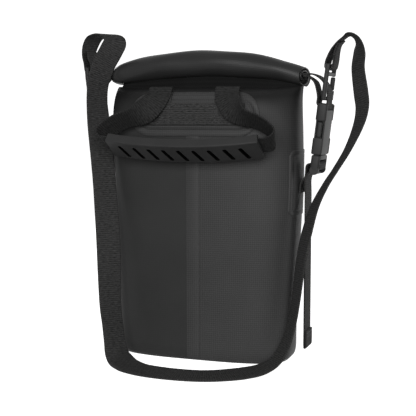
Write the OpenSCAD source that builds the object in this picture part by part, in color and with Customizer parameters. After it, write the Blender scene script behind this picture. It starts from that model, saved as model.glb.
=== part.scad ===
// Roll-top dry bag with a carry handle on its front and a shoulder strap that clips to its sides.
// Millimetres. The origin is the centre of the base's underside, +Z is up and the handle faces -Y.

/* [Bag] */
// Widest width of the bag, at the shoulder
body_w = 201; // [195:1:203]
// Width of the bag just above its rounded bottom
low_w = 189; // [180:1:191]
// Width of the flat base
base_w = 170; // [158:1:172]
// Width of the flattened neck under the roll
neck_w = 201; // [195:1:203]
// Sideways set of the neck
neck_shift = 4; // [0:0.5:5]
// Deepest depth of the bag
body_d = 86; // [82:1:90]
// Depth of the bag just above its rounded bottom
low_d = 84; // [80:1:88]
// Depth of the flat base
base_d = 68; // [60:1:74]
// Depth of the flattened neck
neck_d = 14; // [12:0.5:16]
// Height of the rounded bottom edge
bottom_round = 22; // [20:1:40]
// Height at which the bag starts to slope in towards its neck
shoulder_z = 204; // [198:1:208]
// Curve of the shoulder, from straight at 1 to full at 3
shoulder_curve = 2.2; // [1.8:0.1:2.6]
// Squareness of the bag's section, 2 for an ellipse
corner_power = 3.2; // [2.8:0.1:3.6]
// Height up to which the front of the bag stays full
front_z = 245; // [243:1:248]
// Curve of the front under the roll, from straight at 1 to square at 3
front_curve = 3; // [2.8:0.1:3.3]
// Thickness of the bag's coated fabric
wall = 1.5; // [1:0.1:2]
// Thickness of the base panel
base_t = 2; // [1.5:0.1:3]
// Width of the welded overlap at the front seam
seam_w = 14; // [10:1:20]
// Thickness of the welded overlap
seam_t = 0.7; // [0.5:0.1:1]

/* [Roll] */
// Length of the rolled mouth
roll_len = 213; // [209:1:215]
// Radius of the roll at its middle
roll_r = 13; // [12:0.5:14]
// Radius of the roll at its ends
roll_end_r = 8.5; // [8:0.25:10]
// Height of the roll's axis at its middle
roll_z = 303; // [300:0.5:306]
// How far the roll's ends droop below its middle
roll_droop = 14; // [10:0.5:16]
// Turns of fabric in the roll
roll_turns = 1.8; // [1.4:0.1:1.9]
// How late the rolled fabric tightens towards its core, 1 for an even spiral
roll_ease = 1.5; // [1:0.1:1.6]
// Share of the radius that the core of the roll leaves open
roll_core = 0.48; // [0.44:0.02:0.55]
// Thickness of the rolled fabric
roll_t = 1.2; // [0.8:0.1:1.4]
// Height of the collar between the neck and the roll
collar_h = 13; // [12:0.5:14]
// Width of the stiffener in the core of the roll
stiffener_w = 5; // [4:0.25:5.5]
// Thickness of the stiffener
stiffener_t = 1.4; // [1:0.1:2]
// How far the stiffener sticks out of each end of the roll
stiffener_out = 1.2; // [0.8:0.1:2]

/* [Webbing] */
// Width of the webbing
web_w = 25; // [23:0.5:26]
// Thickness of the webbing
web_t = 1.6; // [1.2:0.1:1.8]
// Width of the end tabs
tab_w = 20; // [18:0.5:20.5]
// Width of an end tab where it leaves the roll
tab_neck_w = 9; // [6:0.5:12]
// Sideways set of an end tab, away from the hook's gate
tab_set = 2.4; // [2:0.1:2.8]

/* [Patches] */
// Length of the handle's welded patch
patch_w = 137; // [125:1:145]
// Height of the handle's welded patch
patch_h = 44; // [40:1:48]
// Height of the middle of the handle's patch
patch_z = 250; // [248:0.5:252]
// Thickness of the welded patches
patch_t = 0.9; // [0.6:0.1:1.2]
// Length of the webbing band sewn on the handle's patch
band_w = 108; // [100:1:116]
// Height of the webbing band
band_h = 22; // [20:0.5:25]
// Depth of a side patch
side_patch_d = 49; // [44:1:54]
// Height of a side patch
side_patch_h = 66; // [60:1:72]
// Height of the middle of the side patches
side_patch_z = 182; // [178:0.5:186]

/* [Handle] */
// Distance from the middle to the centre of each handle strap
strap_x = 35.5; // [32:0.5:38]
// Height of the fold that the handle swings on
fold_z = 275; // [274.5:0.5:277]
// Distance of the fold in front of the middle plane
fold_y = 37; // [36:0.5:39]
// Radius of the fold
fold_r = 1.9; // [1.7:0.1:2.2]
// Length of the moulded grip
grip_len = 155; // [140:1:160]
// Height of the grip's face
grip_h = 29.5; // [29:0.5:34]
// Thickness of the grip
grip_t = 9.4; // [8.6:0.1:10]
// How far the grip is bowed
grip_bow = 6; // [3:0.5:8]
// Height of the grip's ends
grip_z = 221.5; // [219:0.5:224]
// Distance of the grip's ends in front of the middle plane
grip_y = 65; // [63:0.5:68]
// Lean of the grip's face under the horizontal
grip_lean = 56; // [52:0.5:60]
// Number of slanted slots in the grip
slots = 9; // [5:1:9]
// Distance between the slots
slot_pitch = 15.5; // [13:0.25:16]
// Length of a slot
slot_len = 20; // [14:0.5:21]
// Width of a slot
slot_w = 4.2; // [3:0.1:4.5]
// Slant of a slot
slot_slant = 17; // [0:1:25]

/* [Buckles] */
// Distance of the buckle's middle from the side of the bag
buckle_out = 19.1; // [18.7:0.2:21.5]
// Height of the buckle's parting line
buckle_z = 210.5; // [208:0.5:213]
// Outward lean of the buckle
buckle_lean = 7; // [4:0.5:9]
// Width of the socket
socket_w = 34; // [33.4:0.2:36]
// Thickness of the socket
socket_t = 10.6; // [10:0.2:12]
// Length of the socket's body up to the edges of its webbing slot
socket_h = 44.5; // [43.5:0.5:45]
// Wall of the socket
socket_wall = 1.7; // [1.4:0.1:2]
// Length of the side windows
window_h = 16; // [13:0.5:18]
// Height of the side windows' lower end above the parting line
window_z = 17; // [15:0.5:19]
// Radius of the webbing bars
bar_r = 2.4; // [2:0.1:2.6]
// Height of the socket's webbing bar above the parting line
bar_z = 47.2; // [46.5:0.1:48]
// How far the socket's ears stand above its webbing bar
ear_h = 4; // [3.4:0.2:4.4]
// Width of the plug's tongue
tongue_w = 9; // [7:0.5:10]
// Thickness of the plug's tongue and arms
tongue_t = 5; // [4:0.2:6]
// Length of the plug's tongue
tongue_h = 28; // [24:0.5:31]
// Width of a squeeze arm
arm_w = 3.6; // [3:0.1:4]
// Length of the ladder lock under the parting line
lock_h = 20; // [19:0.5:22]
// Thickness of the ladder lock
lock_t = 9; // [8:0.2:10]
// Radius of the ladder lock's bar
lock_bar_r = 2.8; // [2.4:0.1:3]
// Depth of the ladder lock's bar under the parting line
lock_bar_z = 11.7; // [11.4:0.1:12]
// Radius of the ladder lock's lower edge bar
lock_edge_r = 1.2; // [1:0.1:1.3]

/* [Snap hooks] */
// Height of the hook's lower bar above the socket's bar
hook_rise = 8.6; // [8.2:0.2:9.4]
// Outer width of the hook
hook_w = 35; // [34.6:0.2:36]
// Thickness of the hook
hook_t = 4.6; // [4:0.2:5]
// Width of the hook's legs
leg_w = 4; // [3.4:0.1:4.2]
// Length of the hook from its lower bar to its eye bar
hook_h = 32; // [31:0.5:33]
// Height of the cross bar above the lower bar
cross_z = 24; // [23.5:0.25:25]
// Height of the gate's pivot above the lower bar
gate_z = 5.5; // [5:0.25:6.5]
// Radius of the gate's pivot pin
pin_r = 0.9; // [0.7:0.05:1.1]

/* [Fits] */
// Gap between a skin and what it lies on
skin_gap = 0.4; // [0.3:0.05:0.5]
// Running clearance of the moving pieces
clear = 0.35; // [0.3:0.05:0.45]

/* [Hidden] */
$fn = 48;

// Colours
fabric_dark = "#202223";
fabric_edge = "#2b2d2e";
webbing_dark = "#26282a";
plastic_dark = "#303234";

// Counts of the lofted shells
ring_points = 48;
roll_stations = 15;
spiral_points = 40;

// Heights of the loft's rings below and above the start of the shoulder
low_shares = [0, 0.06, 0.18, 0.4, 0.7, 1];
shoulder_steps = 16;

roll_half = roll_len / 2;
neck_z = roll_z - roll_r - collar_h;
grip_half = grip_len / 2;
grip_radius = (grip_half * grip_half + grip_bow * grip_bow) / (2 * grip_bow);
grip_sweep = 2 * asin(grip_half / grip_radius);
grip_normal = [0, -cos(grip_lean), -sin(grip_lean)];
grip_up = [0, -sin(grip_lean), cos(grip_lean)];
buckle_x = body_w / 2 + buckle_out;
cavity_t = socket_t - 2 * socket_wall;
cavity_w = socket_w - 2 * socket_wall;
stem_w = arm_w - 1.2;
arm_y = socket_w / 2 - socket_wall - clear - stem_w / 2;
rail_w = (socket_w - web_w) / 2 - clear;
slot_r = bar_r + web_t + 2 * clear;
leg_y = (hook_w - leg_w) / 2;
cheek_t = 0.9;
cheek_r = leg_w / 2 + 0.4;
nose_h = 2.2;
eye_bar_r = bar_r - 0.3;

function lerp(a, b, t) = a + (b - a) * t;
function ease(t) = t * t * (3 - 2 * t);
function unit(v) = v / norm(v);

// Half width, half depth and sideways set of the bag's section at the height h
function shoulder_share(h) = max(0, (h - shoulder_z) / (neck_z - shoulder_z));
function bottom_share(h) = sqrt(1 - pow(1 - min(1, (h - base_t) / (bottom_round - base_t)), 2));
function side_share(h) = ease(min(1, max(0, (h - bottom_round) / (shoulder_z - bottom_round))));
function half_w(h) =
    h < bottom_round ? lerp(base_w, low_w, bottom_share(h)) / 2
    : h < shoulder_z ? lerp(low_w, body_w, side_share(h)) / 2
    : lerp(body_w, neck_w, ease(shoulder_share(h))) / 2;
function half_d(h) =
    h < bottom_round ? lerp(base_d, low_d, bottom_share(h)) / 2
    : h < shoulder_z ? lerp(low_d, body_d, side_share(h)) / 2
    : lerp(body_d, neck_d, pow(shoulder_share(h), shoulder_curve)) / 2;
function front_share(h) = min(1, max(0, (h - front_z) / (neck_z - front_z)));
function half_front(h) =
    h < shoulder_z ? half_d(h)
    : lerp(neck_d, body_d, pow(1 - pow(front_share(h), front_curve), 1 / front_curve)) / 2;
function set_x(h) = neck_shift * pow(shoulder_share(h), 6);

// The roll's axis and radius at x, and how far the arched neck drops below its middle
function roll_axis(x) = roll_z - roll_droop * pow(x / roll_half, 2);
function roll_radius(x) = lerp(roll_r, roll_end_r, pow(x / roll_half, 2));
function neck_drop(x) = roll_z - roll_r - roll_axis(x) + roll_radius(x);
function skin_z(x, h) = h - neck_drop(x) * pow(shoulder_share(h), 1.5);

// Points of the bag's skin, pushed out by d: at an angle, on the front at x and on the right side at y
function rounded(v) = sign(v) * pow(abs(v), 2 / corner_power);
function flank(v) = pow(max(0, 1 - pow(abs(v), corner_power)), 1 / corner_power);
function skin_at(h, angle, d) =
    let (x = set_x(h) + (half_w(h) + d) * rounded(cos(angle)))
    [x, ((angle > 180 ? half_front(h) : half_d(h)) + d) * rounded(sin(angle)), skin_z(x, h)];
function front_at(x, h) = [x, -half_front(h) * flank((x - set_x(h)) / half_w(h)), skin_z(x, h)];
function skin_front(x, h, d) =
    let (rise = unit(front_at(x, h + 0.2) - front_at(x, h - 0.2)))
    front_at(x, h) + d * [0, -rise[2], rise[1]];
function skin_side(y, h, d) =
    [(half_w(h) + d) * flank(y / ((y < 0 ? half_front(h) : half_d(h)) + d)), y, h];
function skin_ring(h, d) = [for (i = [0 : ring_points - 1]) skin_at(h, 360 * i / ring_points, d)];
function body_heights() = concat(
    [for (s = low_shares) lerp(base_t, bottom_round, s)],
    [for (i = [1 : 5]) lerp(bottom_round, shoulder_z, i / 5)],
    [for (i = [1 : shoulder_steps]) lerp(shoulder_z, neck_z, sin(90 * i / shoulder_steps))]);

// Rows of a smooth curve through hand-placed rows, with steps rows in each span
function curve_row(a, b, c, d, t) =
    (2 * b + (c - a) * t + (2 * a - 5 * b + 4 * c - d) * t * t + (3 * b - a - 3 * c + d) * t * t * t) / 2;
function smooth(rows, steps) = concat(
    [for (i = [0 : len(rows) - 2], k = [0 : steps - 1])
        curve_row(rows[max(i - 1, 0)], rows[i], rows[i + 1], rows[min(i + 2, len(rows) - 1)], k / steps)],
    [rows[len(rows) - 1]]);

// Triangles between rings of equal length
function band_faces(m, n) = [
    for (i = [0 : m - 2], j = [0 : n - 1], k = [0, 1])
        let (a = i * n + j, b = i * n + (j + 1) % n)
        k == 0 ? [a, b + n, b] : [a, a + n, b + n]];

// A closed solid from rings whose two ends are capped
module capped(rings) {
    m = len(rings);
    n = len(rings[0]);
    polyhedron(
        points = [for (r = rings, p = r) p],
        faces = concat(
            band_faces(m, n),
            [[for (j = [0 : n - 1]) j]],
            [[for (j = [n - 1 : -1 : 0]) (m - 1) * n + j]]));
}

// A closed tube wall from rings that run up the outside and down the inside
module looped(rings) {
    m = len(rings);
    n = len(rings[0]);
    last = (m - 1) * n;
    polyhedron(
        points = [for (r = rings, p = r) p],
        faces = concat(
            band_faces(m, n),
            [for (j = [0 : n - 1], k = [0, 1])
                let (a = last + j, b = last + (j + 1) % n, c = j, d = (j + 1) % n)
                k == 0 ? [a, d, b] : [a, c, d]]));
}

// Webbing along rows of [x, y, z, edge x, edge y, edge z, width], where edge points to one long edge
module webbing(rows, t) {
    last = len(rows) - 1;
    place = [for (r = rows) [r[0], r[1], r[2]]];
    rings = [for (i = [0 : last])
        let (
            along = unit(place[min(i + 1, last)] - place[max(i - 1, 0)]),
            edge = [rows[i][3], rows[i][4], rows[i][5]],
            side = unit(edge - along * (edge * along)) * rows[i][6] / 2,
            face = unit(cross(along, side)) * t / 2)
        [place[i] + side + face, place[i] - side + face, place[i] - side - face, place[i] + side - face]];
    capped(rings);
}

// A patch on the skin: columns of points, each column a list of [inner point, outer point]
module skin_patch(columns) {
    capped([for (c = columns) concat(
        [for (p = c) p[1]],
        [for (i = [len(c) - 1 : -1 : 0]) c[i][0]])]);
}

module rounded_square(w, h, r) {
    square([w - 2 * r, h], center = true);
    square([w, h - 2 * r], center = true);
    for (sx = [-1, 1], sy = [-1, 1])
        translate([sx * (w / 2 - r), sy * (h / 2 - r)]) circle(r);
}

module bar_along_y(r, l) {
    rotate([90, 0, 0]) cylinder(r = r, h = l, center = true);
}

// The bag

module bag_body() {
    outside = [for (h = body_heights()) skin_ring(h, 0)];
    inside = [for (h = body_heights())
        [for (p = skin_ring(h, -wall)) p - [0, 0, wall * pow(shoulder_share(h), 3)]]];
    color(fabric_dark) looped(concat(outside, [for (i = [len(inside) - 1 : -1 : 0]) inside[i]]));
}

module base_panel() {
    outline = [for (p = skin_ring(base_t, 0)) [p[0], p[1]]];
    color(fabric_dark) linear_extrude(base_t) polygon(outline);
}

module seam_strip() {
    top = patch_z - patch_h / 2 - clear;
    low = base_t + 1;
    heights = concat([low], [for (h = body_heights()) if (h > low + 1 && h < top - 1) h], [top]);
    columns = [for (h = heights) [for (x = [-seam_w / 2, 0, seam_w / 2])
        [skin_front(x, h, skin_gap), skin_front(x, h, skin_gap + seam_t)]]];
    color(fabric_edge) skin_patch(columns);
}

module collar() {
    slim = 0.7;
    rows = [0, 0.5, 1];
    function collar_ring(s, d) = [for (p = skin_ring(neck_z, d))
        [p[0], p[1] * lerp(1, slim, s), p[2] + clear + s * (collar_h - 2 * clear)]];
    color(fabric_dark) looped(concat(
        [for (s = rows) collar_ring(s, 0)],
        [for (i = [len(rows) - 1 : -1 : 0]) collar_ring(rows[i], -wall)]));
}

module roll_top() {
    // The fabric comes up from the collar behind, over the top and in towards the core
    start = 250;
    function spiral(x, s, inner) =
        let (
            angle = start - 360 * roll_turns * s,
            r = roll_radius(x) * lerp(1, roll_core, pow(s, roll_ease)) - (inner ? roll_t : 0))
        [x, -r * cos(angle), roll_axis(x) + r * sin(angle)];
    xs = [for (i = [0 : roll_stations - 1]) lerp(-roll_half, roll_half, i / (roll_stations - 1))];
    shares = [for (j = [0 : spiral_points]) j / spiral_points];
    n = 2 * len(shares);
    last = (len(xs) - 1) * n;
    points = [for (x = xs) each concat(
        [for (s = shares) spiral(x, s, false)],
        [for (j = [len(shares) - 1 : -1 : 0]) spiral(x, shares[j], true)])];
    ends = [for (j = [0 : spiral_points - 1], k = [0, 1])
        let (a = j, b = j + 1, c = n - 2 - j, d = n - 1 - j)
        k == 0 ? [a, b, c] : [a, c, d]];
    color(fabric_dark) polyhedron(
        points = points,
        faces = concat(
            band_faces(len(xs), n),
            ends,
            [for (f = ends) [last + f[0], last + f[2], last + f[1]]]));
}

module hem_stiffener() {
    reach = roll_half + stiffener_out;
    rows = [for (i = [0 : roll_stations - 1])
        let (x = lerp(-reach, reach, i / (roll_stations - 1)))
        [x, 0, roll_axis(x), 0, 1, 0, stiffener_w]];
    color(plastic_dark) webbing(rows, stiffener_t);
}

// The handle

module handle_patch() {
    end_r = patch_h / 2;
    edge = 0.6;
    count = 30;
    xs = [for (i = [0 : count]) (patch_w / 2 - edge) * sin(90 * (1 - 2 * i / count))];
    function reach(x) = sqrt(max(0, end_r * end_r - pow(max(0, abs(x) - patch_w / 2 + end_r), 2)));
    columns = [for (x = xs) [for (k = [-7 : 7])
        let (h = patch_z + reach(x) * sin(90 * k / 7))
        [skin_front(x, h, skin_gap), skin_front(x, h, skin_gap + patch_t)]]];
    color(fabric_edge) skin_patch(columns);
}

module handle_anchor() {
    seat = skin_gap + patch_t + skin_gap;
    count = 16;
    xs = [for (i = [0 : count]) lerp(band_w / 2, -band_w / 2, i / count)];
    columns = [for (x = xs) [for (k = [-2 : 2])
        let (h = patch_z + band_h * k / 4)
        [skin_front(x, h, seat), skin_front(x, h, seat + web_t)]]];
    color(webbing_dark) skin_patch(columns);
}

// The end of a handle strap between the band and the fold
module right_handle_riser() {
    seat = skin_gap + patch_t + 2 * skin_gap + web_t / 2;
    low = patch_z + band_h / 2 + 2 * clear;
    top = fold_z - 6;
    rows = [for (s = [0, 0.5, 1]) concat(skin_front(strap_x, lerp(low, top, s), seat), [1, 0, 0, web_w])];
    color(webbing_dark) webbing(rows, web_t);
}

// One half of the handle's loop, from the fold to the grip's end, as [x, y, z] and the front edge
handle_route = [
    [strap_x, -fold_y, fold_z, 1, 0, 0],
    [strap_x + 0.3, -fold_y - 4.4, fold_z - 3.4, 1, 0, 0.03],
    [strap_x + 2.3, -fold_y - 9, fold_z - 9.5, 0.97, -0.1, 0.15],
    [strap_x + 9.5, -fold_y - 14.9, fold_z - 19.4, 0.9, -0.3, 0.28],
    [strap_x + 20.5, -fold_y - 18.5, fold_z - 26.8, 0.64, -0.64, 0.42],
    [grip_half - 7.5, -grip_y + 7.5, grip_z + 22.2, 0.5, -0.75, 0.43],
    [grip_half + 3.5, -grip_y + 6.2, grip_z + 16.5, 0.4, -0.8, 0.45],
    [grip_half + 11.5, -grip_y + 4.2, grip_z + 9.5, 0.25, -0.83, 0.5],
    [grip_half + 10.5, -grip_y + 1.2, grip_z + 2.6, 0.05, -0.83, 0.55],
    [grip_half + 5, -grip_y, grip_z + 0.2, 0, -sin(grip_lean), cos(grip_lean)],
    [grip_half, -grip_y, grip_z, 0, -sin(grip_lean), cos(grip_lean)]
];

module handle_webbing() {
    half = [for (r = smooth(handle_route, 3)) concat(r, [web_w])];
    turns = 12;
    middle = [for (i = [1 : turns - 1])
        let (a = grip_sweep * (0.5 - i / turns), lift = grip_radius * (cos(a) - 1) + grip_bow)
        concat([grip_radius * sin(a), -grip_y, grip_z] + grip_normal * lift, grip_up, [web_w])];
    other = [for (i = [len(half) - 1 : -1 : 0])
        [-half[i][0], half[i][1], half[i][2], -half[i][3], half[i][4], half[i][5], web_w]];
    color(webbing_dark) {
        webbing(concat(half, middle, other), web_t);
        for (s = [-1, 1])
            translate([s * strap_x, -fold_y, fold_z])
                rotate([0, 90, 0]) cylinder(r = fold_r, h = web_w, center = true);
    }
}

module handle_grip() {
    channel_w = web_w + 2 * clear;
    channel_t = web_t + 2 * clear;
    back_t = 1.6;
    edge_r = 1.4;
    middle = grip_t / 2 - channel_t / 2 - back_t;
    slot_shift = 2;
    color(plastic_dark)
        translate([0, -grip_y, grip_z] + grip_normal * (grip_bow - grip_radius))
            rotate([180 + grip_lean, 0, 0])
                difference() {
                    rotate([0, 0, 90 - grip_sweep / 2])
                        rotate_extrude(angle = grip_sweep, $fn = 180)
                            translate([grip_radius, 0])
                                difference() {
                                    translate([middle, 0]) rounded_square(grip_t, grip_h, edge_r);
                                    square([channel_t, channel_w], center = true);
                                }
                    for (i = [0 : slots - 1])
                        rotate([0, 0, -(i - (slots - 1) / 2) * slot_pitch / grip_radius * 180 / PI])
                            translate([0, grip_radius, slot_shift])
                                rotate([-90, 0, 0])
                                    rotate([0, 0, slot_slant])
                                        linear_extrude(grip_t)
                                            rounded_square(slot_w, slot_len, slot_w / 2 - 0.1);
                }
}

// The buckles, drawn about their parting line with the webbing's width along Y

module at_buckle() {
    translate([buckle_x, 0, buckle_z]) rotate([0, buckle_lean, 0]) children();
}

module right_buckle_socket() {
    edge_r = 1.6;
    color(plastic_dark) at_buckle() {
        difference() {
            linear_extrude(socket_h) rounded_square(socket_t, socket_w, edge_r);
            translate([-cavity_t / 2, -cavity_w / 2, -1])
                cube([cavity_t, cavity_w, bar_z - slot_r - socket_wall + 1]);
            translate([-cavity_t / 2, -socket_w, window_z])
                cube([cavity_t, 2 * socket_w, window_h]);
            translate([0, 0, bar_z]) bar_along_y(slot_r, socket_w - 2 * rail_w);
        }
        for (s = [-1, 1])
            translate([0, s * (socket_w - rail_w) / 2, socket_h])
                linear_extrude(bar_z + ear_h - socket_h)
                    rounded_square(socket_t - 1, rail_w, edge_r);
        translate([0, 0, bar_z]) bar_along_y(bar_r, socket_w - rail_w);
    }
}

module right_buckle_plug() {
    shoulder_t = 5;
    edge_r = 1.6;
    root = clear + 1;
    seat_r = arm_w / 2 + clear;
    color(plastic_dark) at_buckle() {
        difference() {
            translate([0, 0, -lock_h]) linear_extrude(lock_h - clear) rounded_square(lock_t, socket_w, edge_r);
            translate([-lock_t, -web_w / 2 - clear, -lock_h - 1])
                cube([2 * lock_t, web_w + 2 * clear, lock_h - shoulder_t + 1]);
            for (s = [-1, 1])
                translate([0, s * arm_y, -root])
                    rotate([0, 90, 0]) cylinder(r = seat_r, h = 2 * lock_t, center = true);
            for (s = [-1, 1])
                translate([-lock_t, s * arm_y - seat_r, -root])
                    cube([2 * lock_t, 2 * seat_r, 2 * root]);
        }
        translate([0, 0, -lock_bar_z]) bar_along_y(lock_bar_r, socket_w - 2);
        translate([0, 0, lock_edge_r - lock_h]) bar_along_y(lock_edge_r, socket_w - 2);
        translate([-tongue_t / 2, -tongue_w / 2, -clear - 1]) cube([tongue_t, tongue_w, tongue_h + 1]);
    }
}

// A squeeze arm on the side s, with the bulge that catches in the socket's window
module buckle_arm(s) {
    root = clear + 1;
    bulge_h = window_h - 2 * clear;
    stem_in = arm_y - stem_w / 2;
    proud = 0.4;
    color(plastic_dark) at_buckle() {
        translate([0, s * arm_y, -root])
            rotate([0, 90, 0]) cylinder(r = arm_w / 2, h = tongue_t, center = true);
        translate([-tongue_t / 2, s > 0 ? stem_in : -stem_in - stem_w, -root])
            cube([tongue_t, stem_w, window_z + window_h - clear + root]);
        translate([-tongue_t / 2, s > 0 ? stem_in : -socket_w / 2 - proud, window_z + clear])
            cube([tongue_t, socket_w / 2 + proud - stem_in, bulge_h]);
    }
}

module right_buckle_arm_front() {
    buckle_arm(-1);
}

module right_buckle_arm_rear() {
    buckle_arm(1);
}

// A place in the buckle's frame, as [x, z] of the bag's frame
function from_buckle(x, z) = [
    buckle_x + x * cos(buckle_lean) + z * sin(buckle_lean),
    buckle_z - x * sin(buckle_lean) + z * cos(buckle_lean)];

// Webbing in the plane of X and Z, through rows of [x, z, width] and set off along Y
function flat_rows(points, y) = [for (p = points) [p[0], y, p[1], 0, 1, 0, p[2]]];

module right_end_tab() {
    bar = from_buckle(0, bar_z);
    tip = [roll_half + stiffener_out + clear, roll_axis(roll_half)];
    wrap_r = bar_r + web_t / 2 + clear;
    ply = web_t / 2 + clear / 2;
    function near_tip(x, z, w) = [tip[0] + x, tip[1] + z, w];
    function near_bar(x, z) = [bar[0] + x, bar[1] + z, tab_w];
    points = concat(
        [near_tip(0, ply, tab_neck_w), near_tip(4.5, ply, lerp(tab_neck_w, tab_w, 0.4)),
            near_tip(11.5, -1.6, tab_w)],
        [near_bar(0.2, 24.2), near_bar(3.6, 17), near_bar(4, 9), near_bar(3.9, 3)],
        [for (a = [0 : -45 : -180]) near_bar(wrap_r * cos(a), wrap_r * sin(a))],
        [near_bar(-6.2, 3.6), near_bar(-5.7, 9.4), near_bar(-6.6, 16)],
        [near_tip(8.6, -7.6, tab_w), near_tip(4, -3.2, lerp(tab_neck_w, tab_w, 0.5)), near_tip(0, -ply, tab_neck_w)]);
    color(webbing_dark) webbing(smooth(flat_rows(points, -tab_set), 3), web_t);
}

module right_side_patch() {
    corner = 7;
    count = 14;
    half = side_patch_d / 2;
    edge = 0.5;
    ys = [for (i = [0 : count]) (half - edge) * sin(90 * (1 - 2 * i / count))];
    function reach(y) = side_patch_h / 2 - corner + sqrt(max(0, corner * corner - pow(max(0, abs(y) - half + corner), 2)));
    columns = [for (y = ys) [for (k = [-3 : 3])
        let (h = side_patch_z + reach(y) * k / 3)
        [skin_side(y, h, skin_gap), skin_side(y, h, skin_gap + patch_t)]]];
    color(fabric_edge) skin_patch(columns);
}

module right_side_strap() {
    seat = half_w(side_patch_z) + 2 * skin_gap + patch_t + web_t / 2;
    lock = from_buckle(0, -lock_bar_z);
    wrap_r = lock_bar_r + web_t / 2 + 1.2 * clear;
    tail_x = lock[0] - 10;
    tail_low = 15;
    fold_t = 2.2;
    function near_lock(x, z) = [lock[0] + x, lock[1] + z, web_w];
    points = concat(
        [[seat, side_patch_z - 10, web_w], [seat, side_patch_z - 4, web_w],
            [seat + 1.2, side_patch_z + 1.5, web_w], [seat + 5, side_patch_z + 6.5, web_w]],
        [near_lock(-9.2, 0.4), near_lock(-5.4, 2.7)],
        [for (a = [110 : -40 : -90]) near_lock(wrap_r * cos(a), wrap_r * sin(a))],
        [near_lock(-5.6, -5.2), [tail_x, lock[1] - 13, web_w]],
        [for (z = [lock[1] - 30, lock[1] - 70, lock[1] - 110, tail_low]) [tail_x, z, web_w]]);
    color(webbing_dark) {
        webbing(smooth(flat_rows(points, 0), 3), web_t);
        translate([tail_x + web_t / 2 - 0.2, -web_w / 2, tail_low]) cube([fold_t, web_w, web_w - 8]);
    }
}

// The snap hooks, drawn about their lower bar

module at_hook() {
    at_buckle() translate([0, 0, bar_z + hook_rise]) children();
}

module right_snap_hook() {
    eye_leg_w = 3;
    eye_y = hook_w / 2 - eye_leg_w / 2 - 0.8;
    color(plastic_dark) at_hook() {
        bar_along_y(leg_w / 2, 2 * leg_y);
        translate([0, 0, cross_z]) bar_along_y(leg_w / 2, 2 * leg_y);
        translate([0, 0, hook_h]) bar_along_y(eye_bar_r, 2 * eye_y);
        translate([-hook_t / 2, -leg_y - leg_w / 2, -leg_w / 2])
            cube([hook_t, leg_w, cross_z + leg_w]);
        for (s = [-1, 1])
            translate([-hook_t / 2, s * eye_y - eye_leg_w / 2, cross_z])
                cube([hook_t, eye_leg_w, hook_h - cross_z + eye_bar_r]);
        translate([-hook_t / 2, leg_y - leg_w / 2, -leg_w / 2])
            cube([hook_t, leg_w, gate_z - cheek_r - clear + leg_w / 2]);
        translate([-hook_t / 2, leg_y - leg_w / 2, cross_z - nose_h])
            cube([hook_t, leg_w, nose_h + leg_w / 2]);
        for (s = [-1, 1])
            translate([s * (hook_t - cheek_t) / 2, leg_y, gate_z])
                rotate([0, 90, 0]) cylinder(r = cheek_r, h = cheek_t, center = true);
        for (s = [-1, 1])
            translate([s * (hook_t - cheek_t) / 2 - cheek_t / 2, leg_y - leg_w / 2, 0])
                cube([cheek_t, leg_w, gate_z]);
        translate([0, leg_y, gate_z]) rotate([0, 90, 0]) cylinder(r = pin_r, h = hook_t, center = true);
    }
}

module right_hook_gate() {
    knuckle_t = hook_t - 2 * cheek_t - 2 * clear;
    gate_top = cross_z - nose_h - clear;
    wide_from = gate_z + cheek_r + clear;
    color(plastic_dark) at_hook() difference() {
        union() {
            translate([0, leg_y, gate_z]) rotate([0, 90, 0]) cylinder(r = leg_w / 2, h = knuckle_t, center = true);
            translate([-knuckle_t / 2, leg_y - leg_w / 2, gate_z]) cube([knuckle_t, leg_w, wide_from - gate_z + 1]);
            translate([-hook_t / 2, leg_y - leg_w / 2, wide_from]) cube([hook_t, leg_w, gate_top - wide_from]);
        }
        translate([0, leg_y, gate_z]) rotate([0, 90, 0]) cylinder(r = pin_r + clear, h = hook_t + 1, center = true);
    }
}

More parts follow.
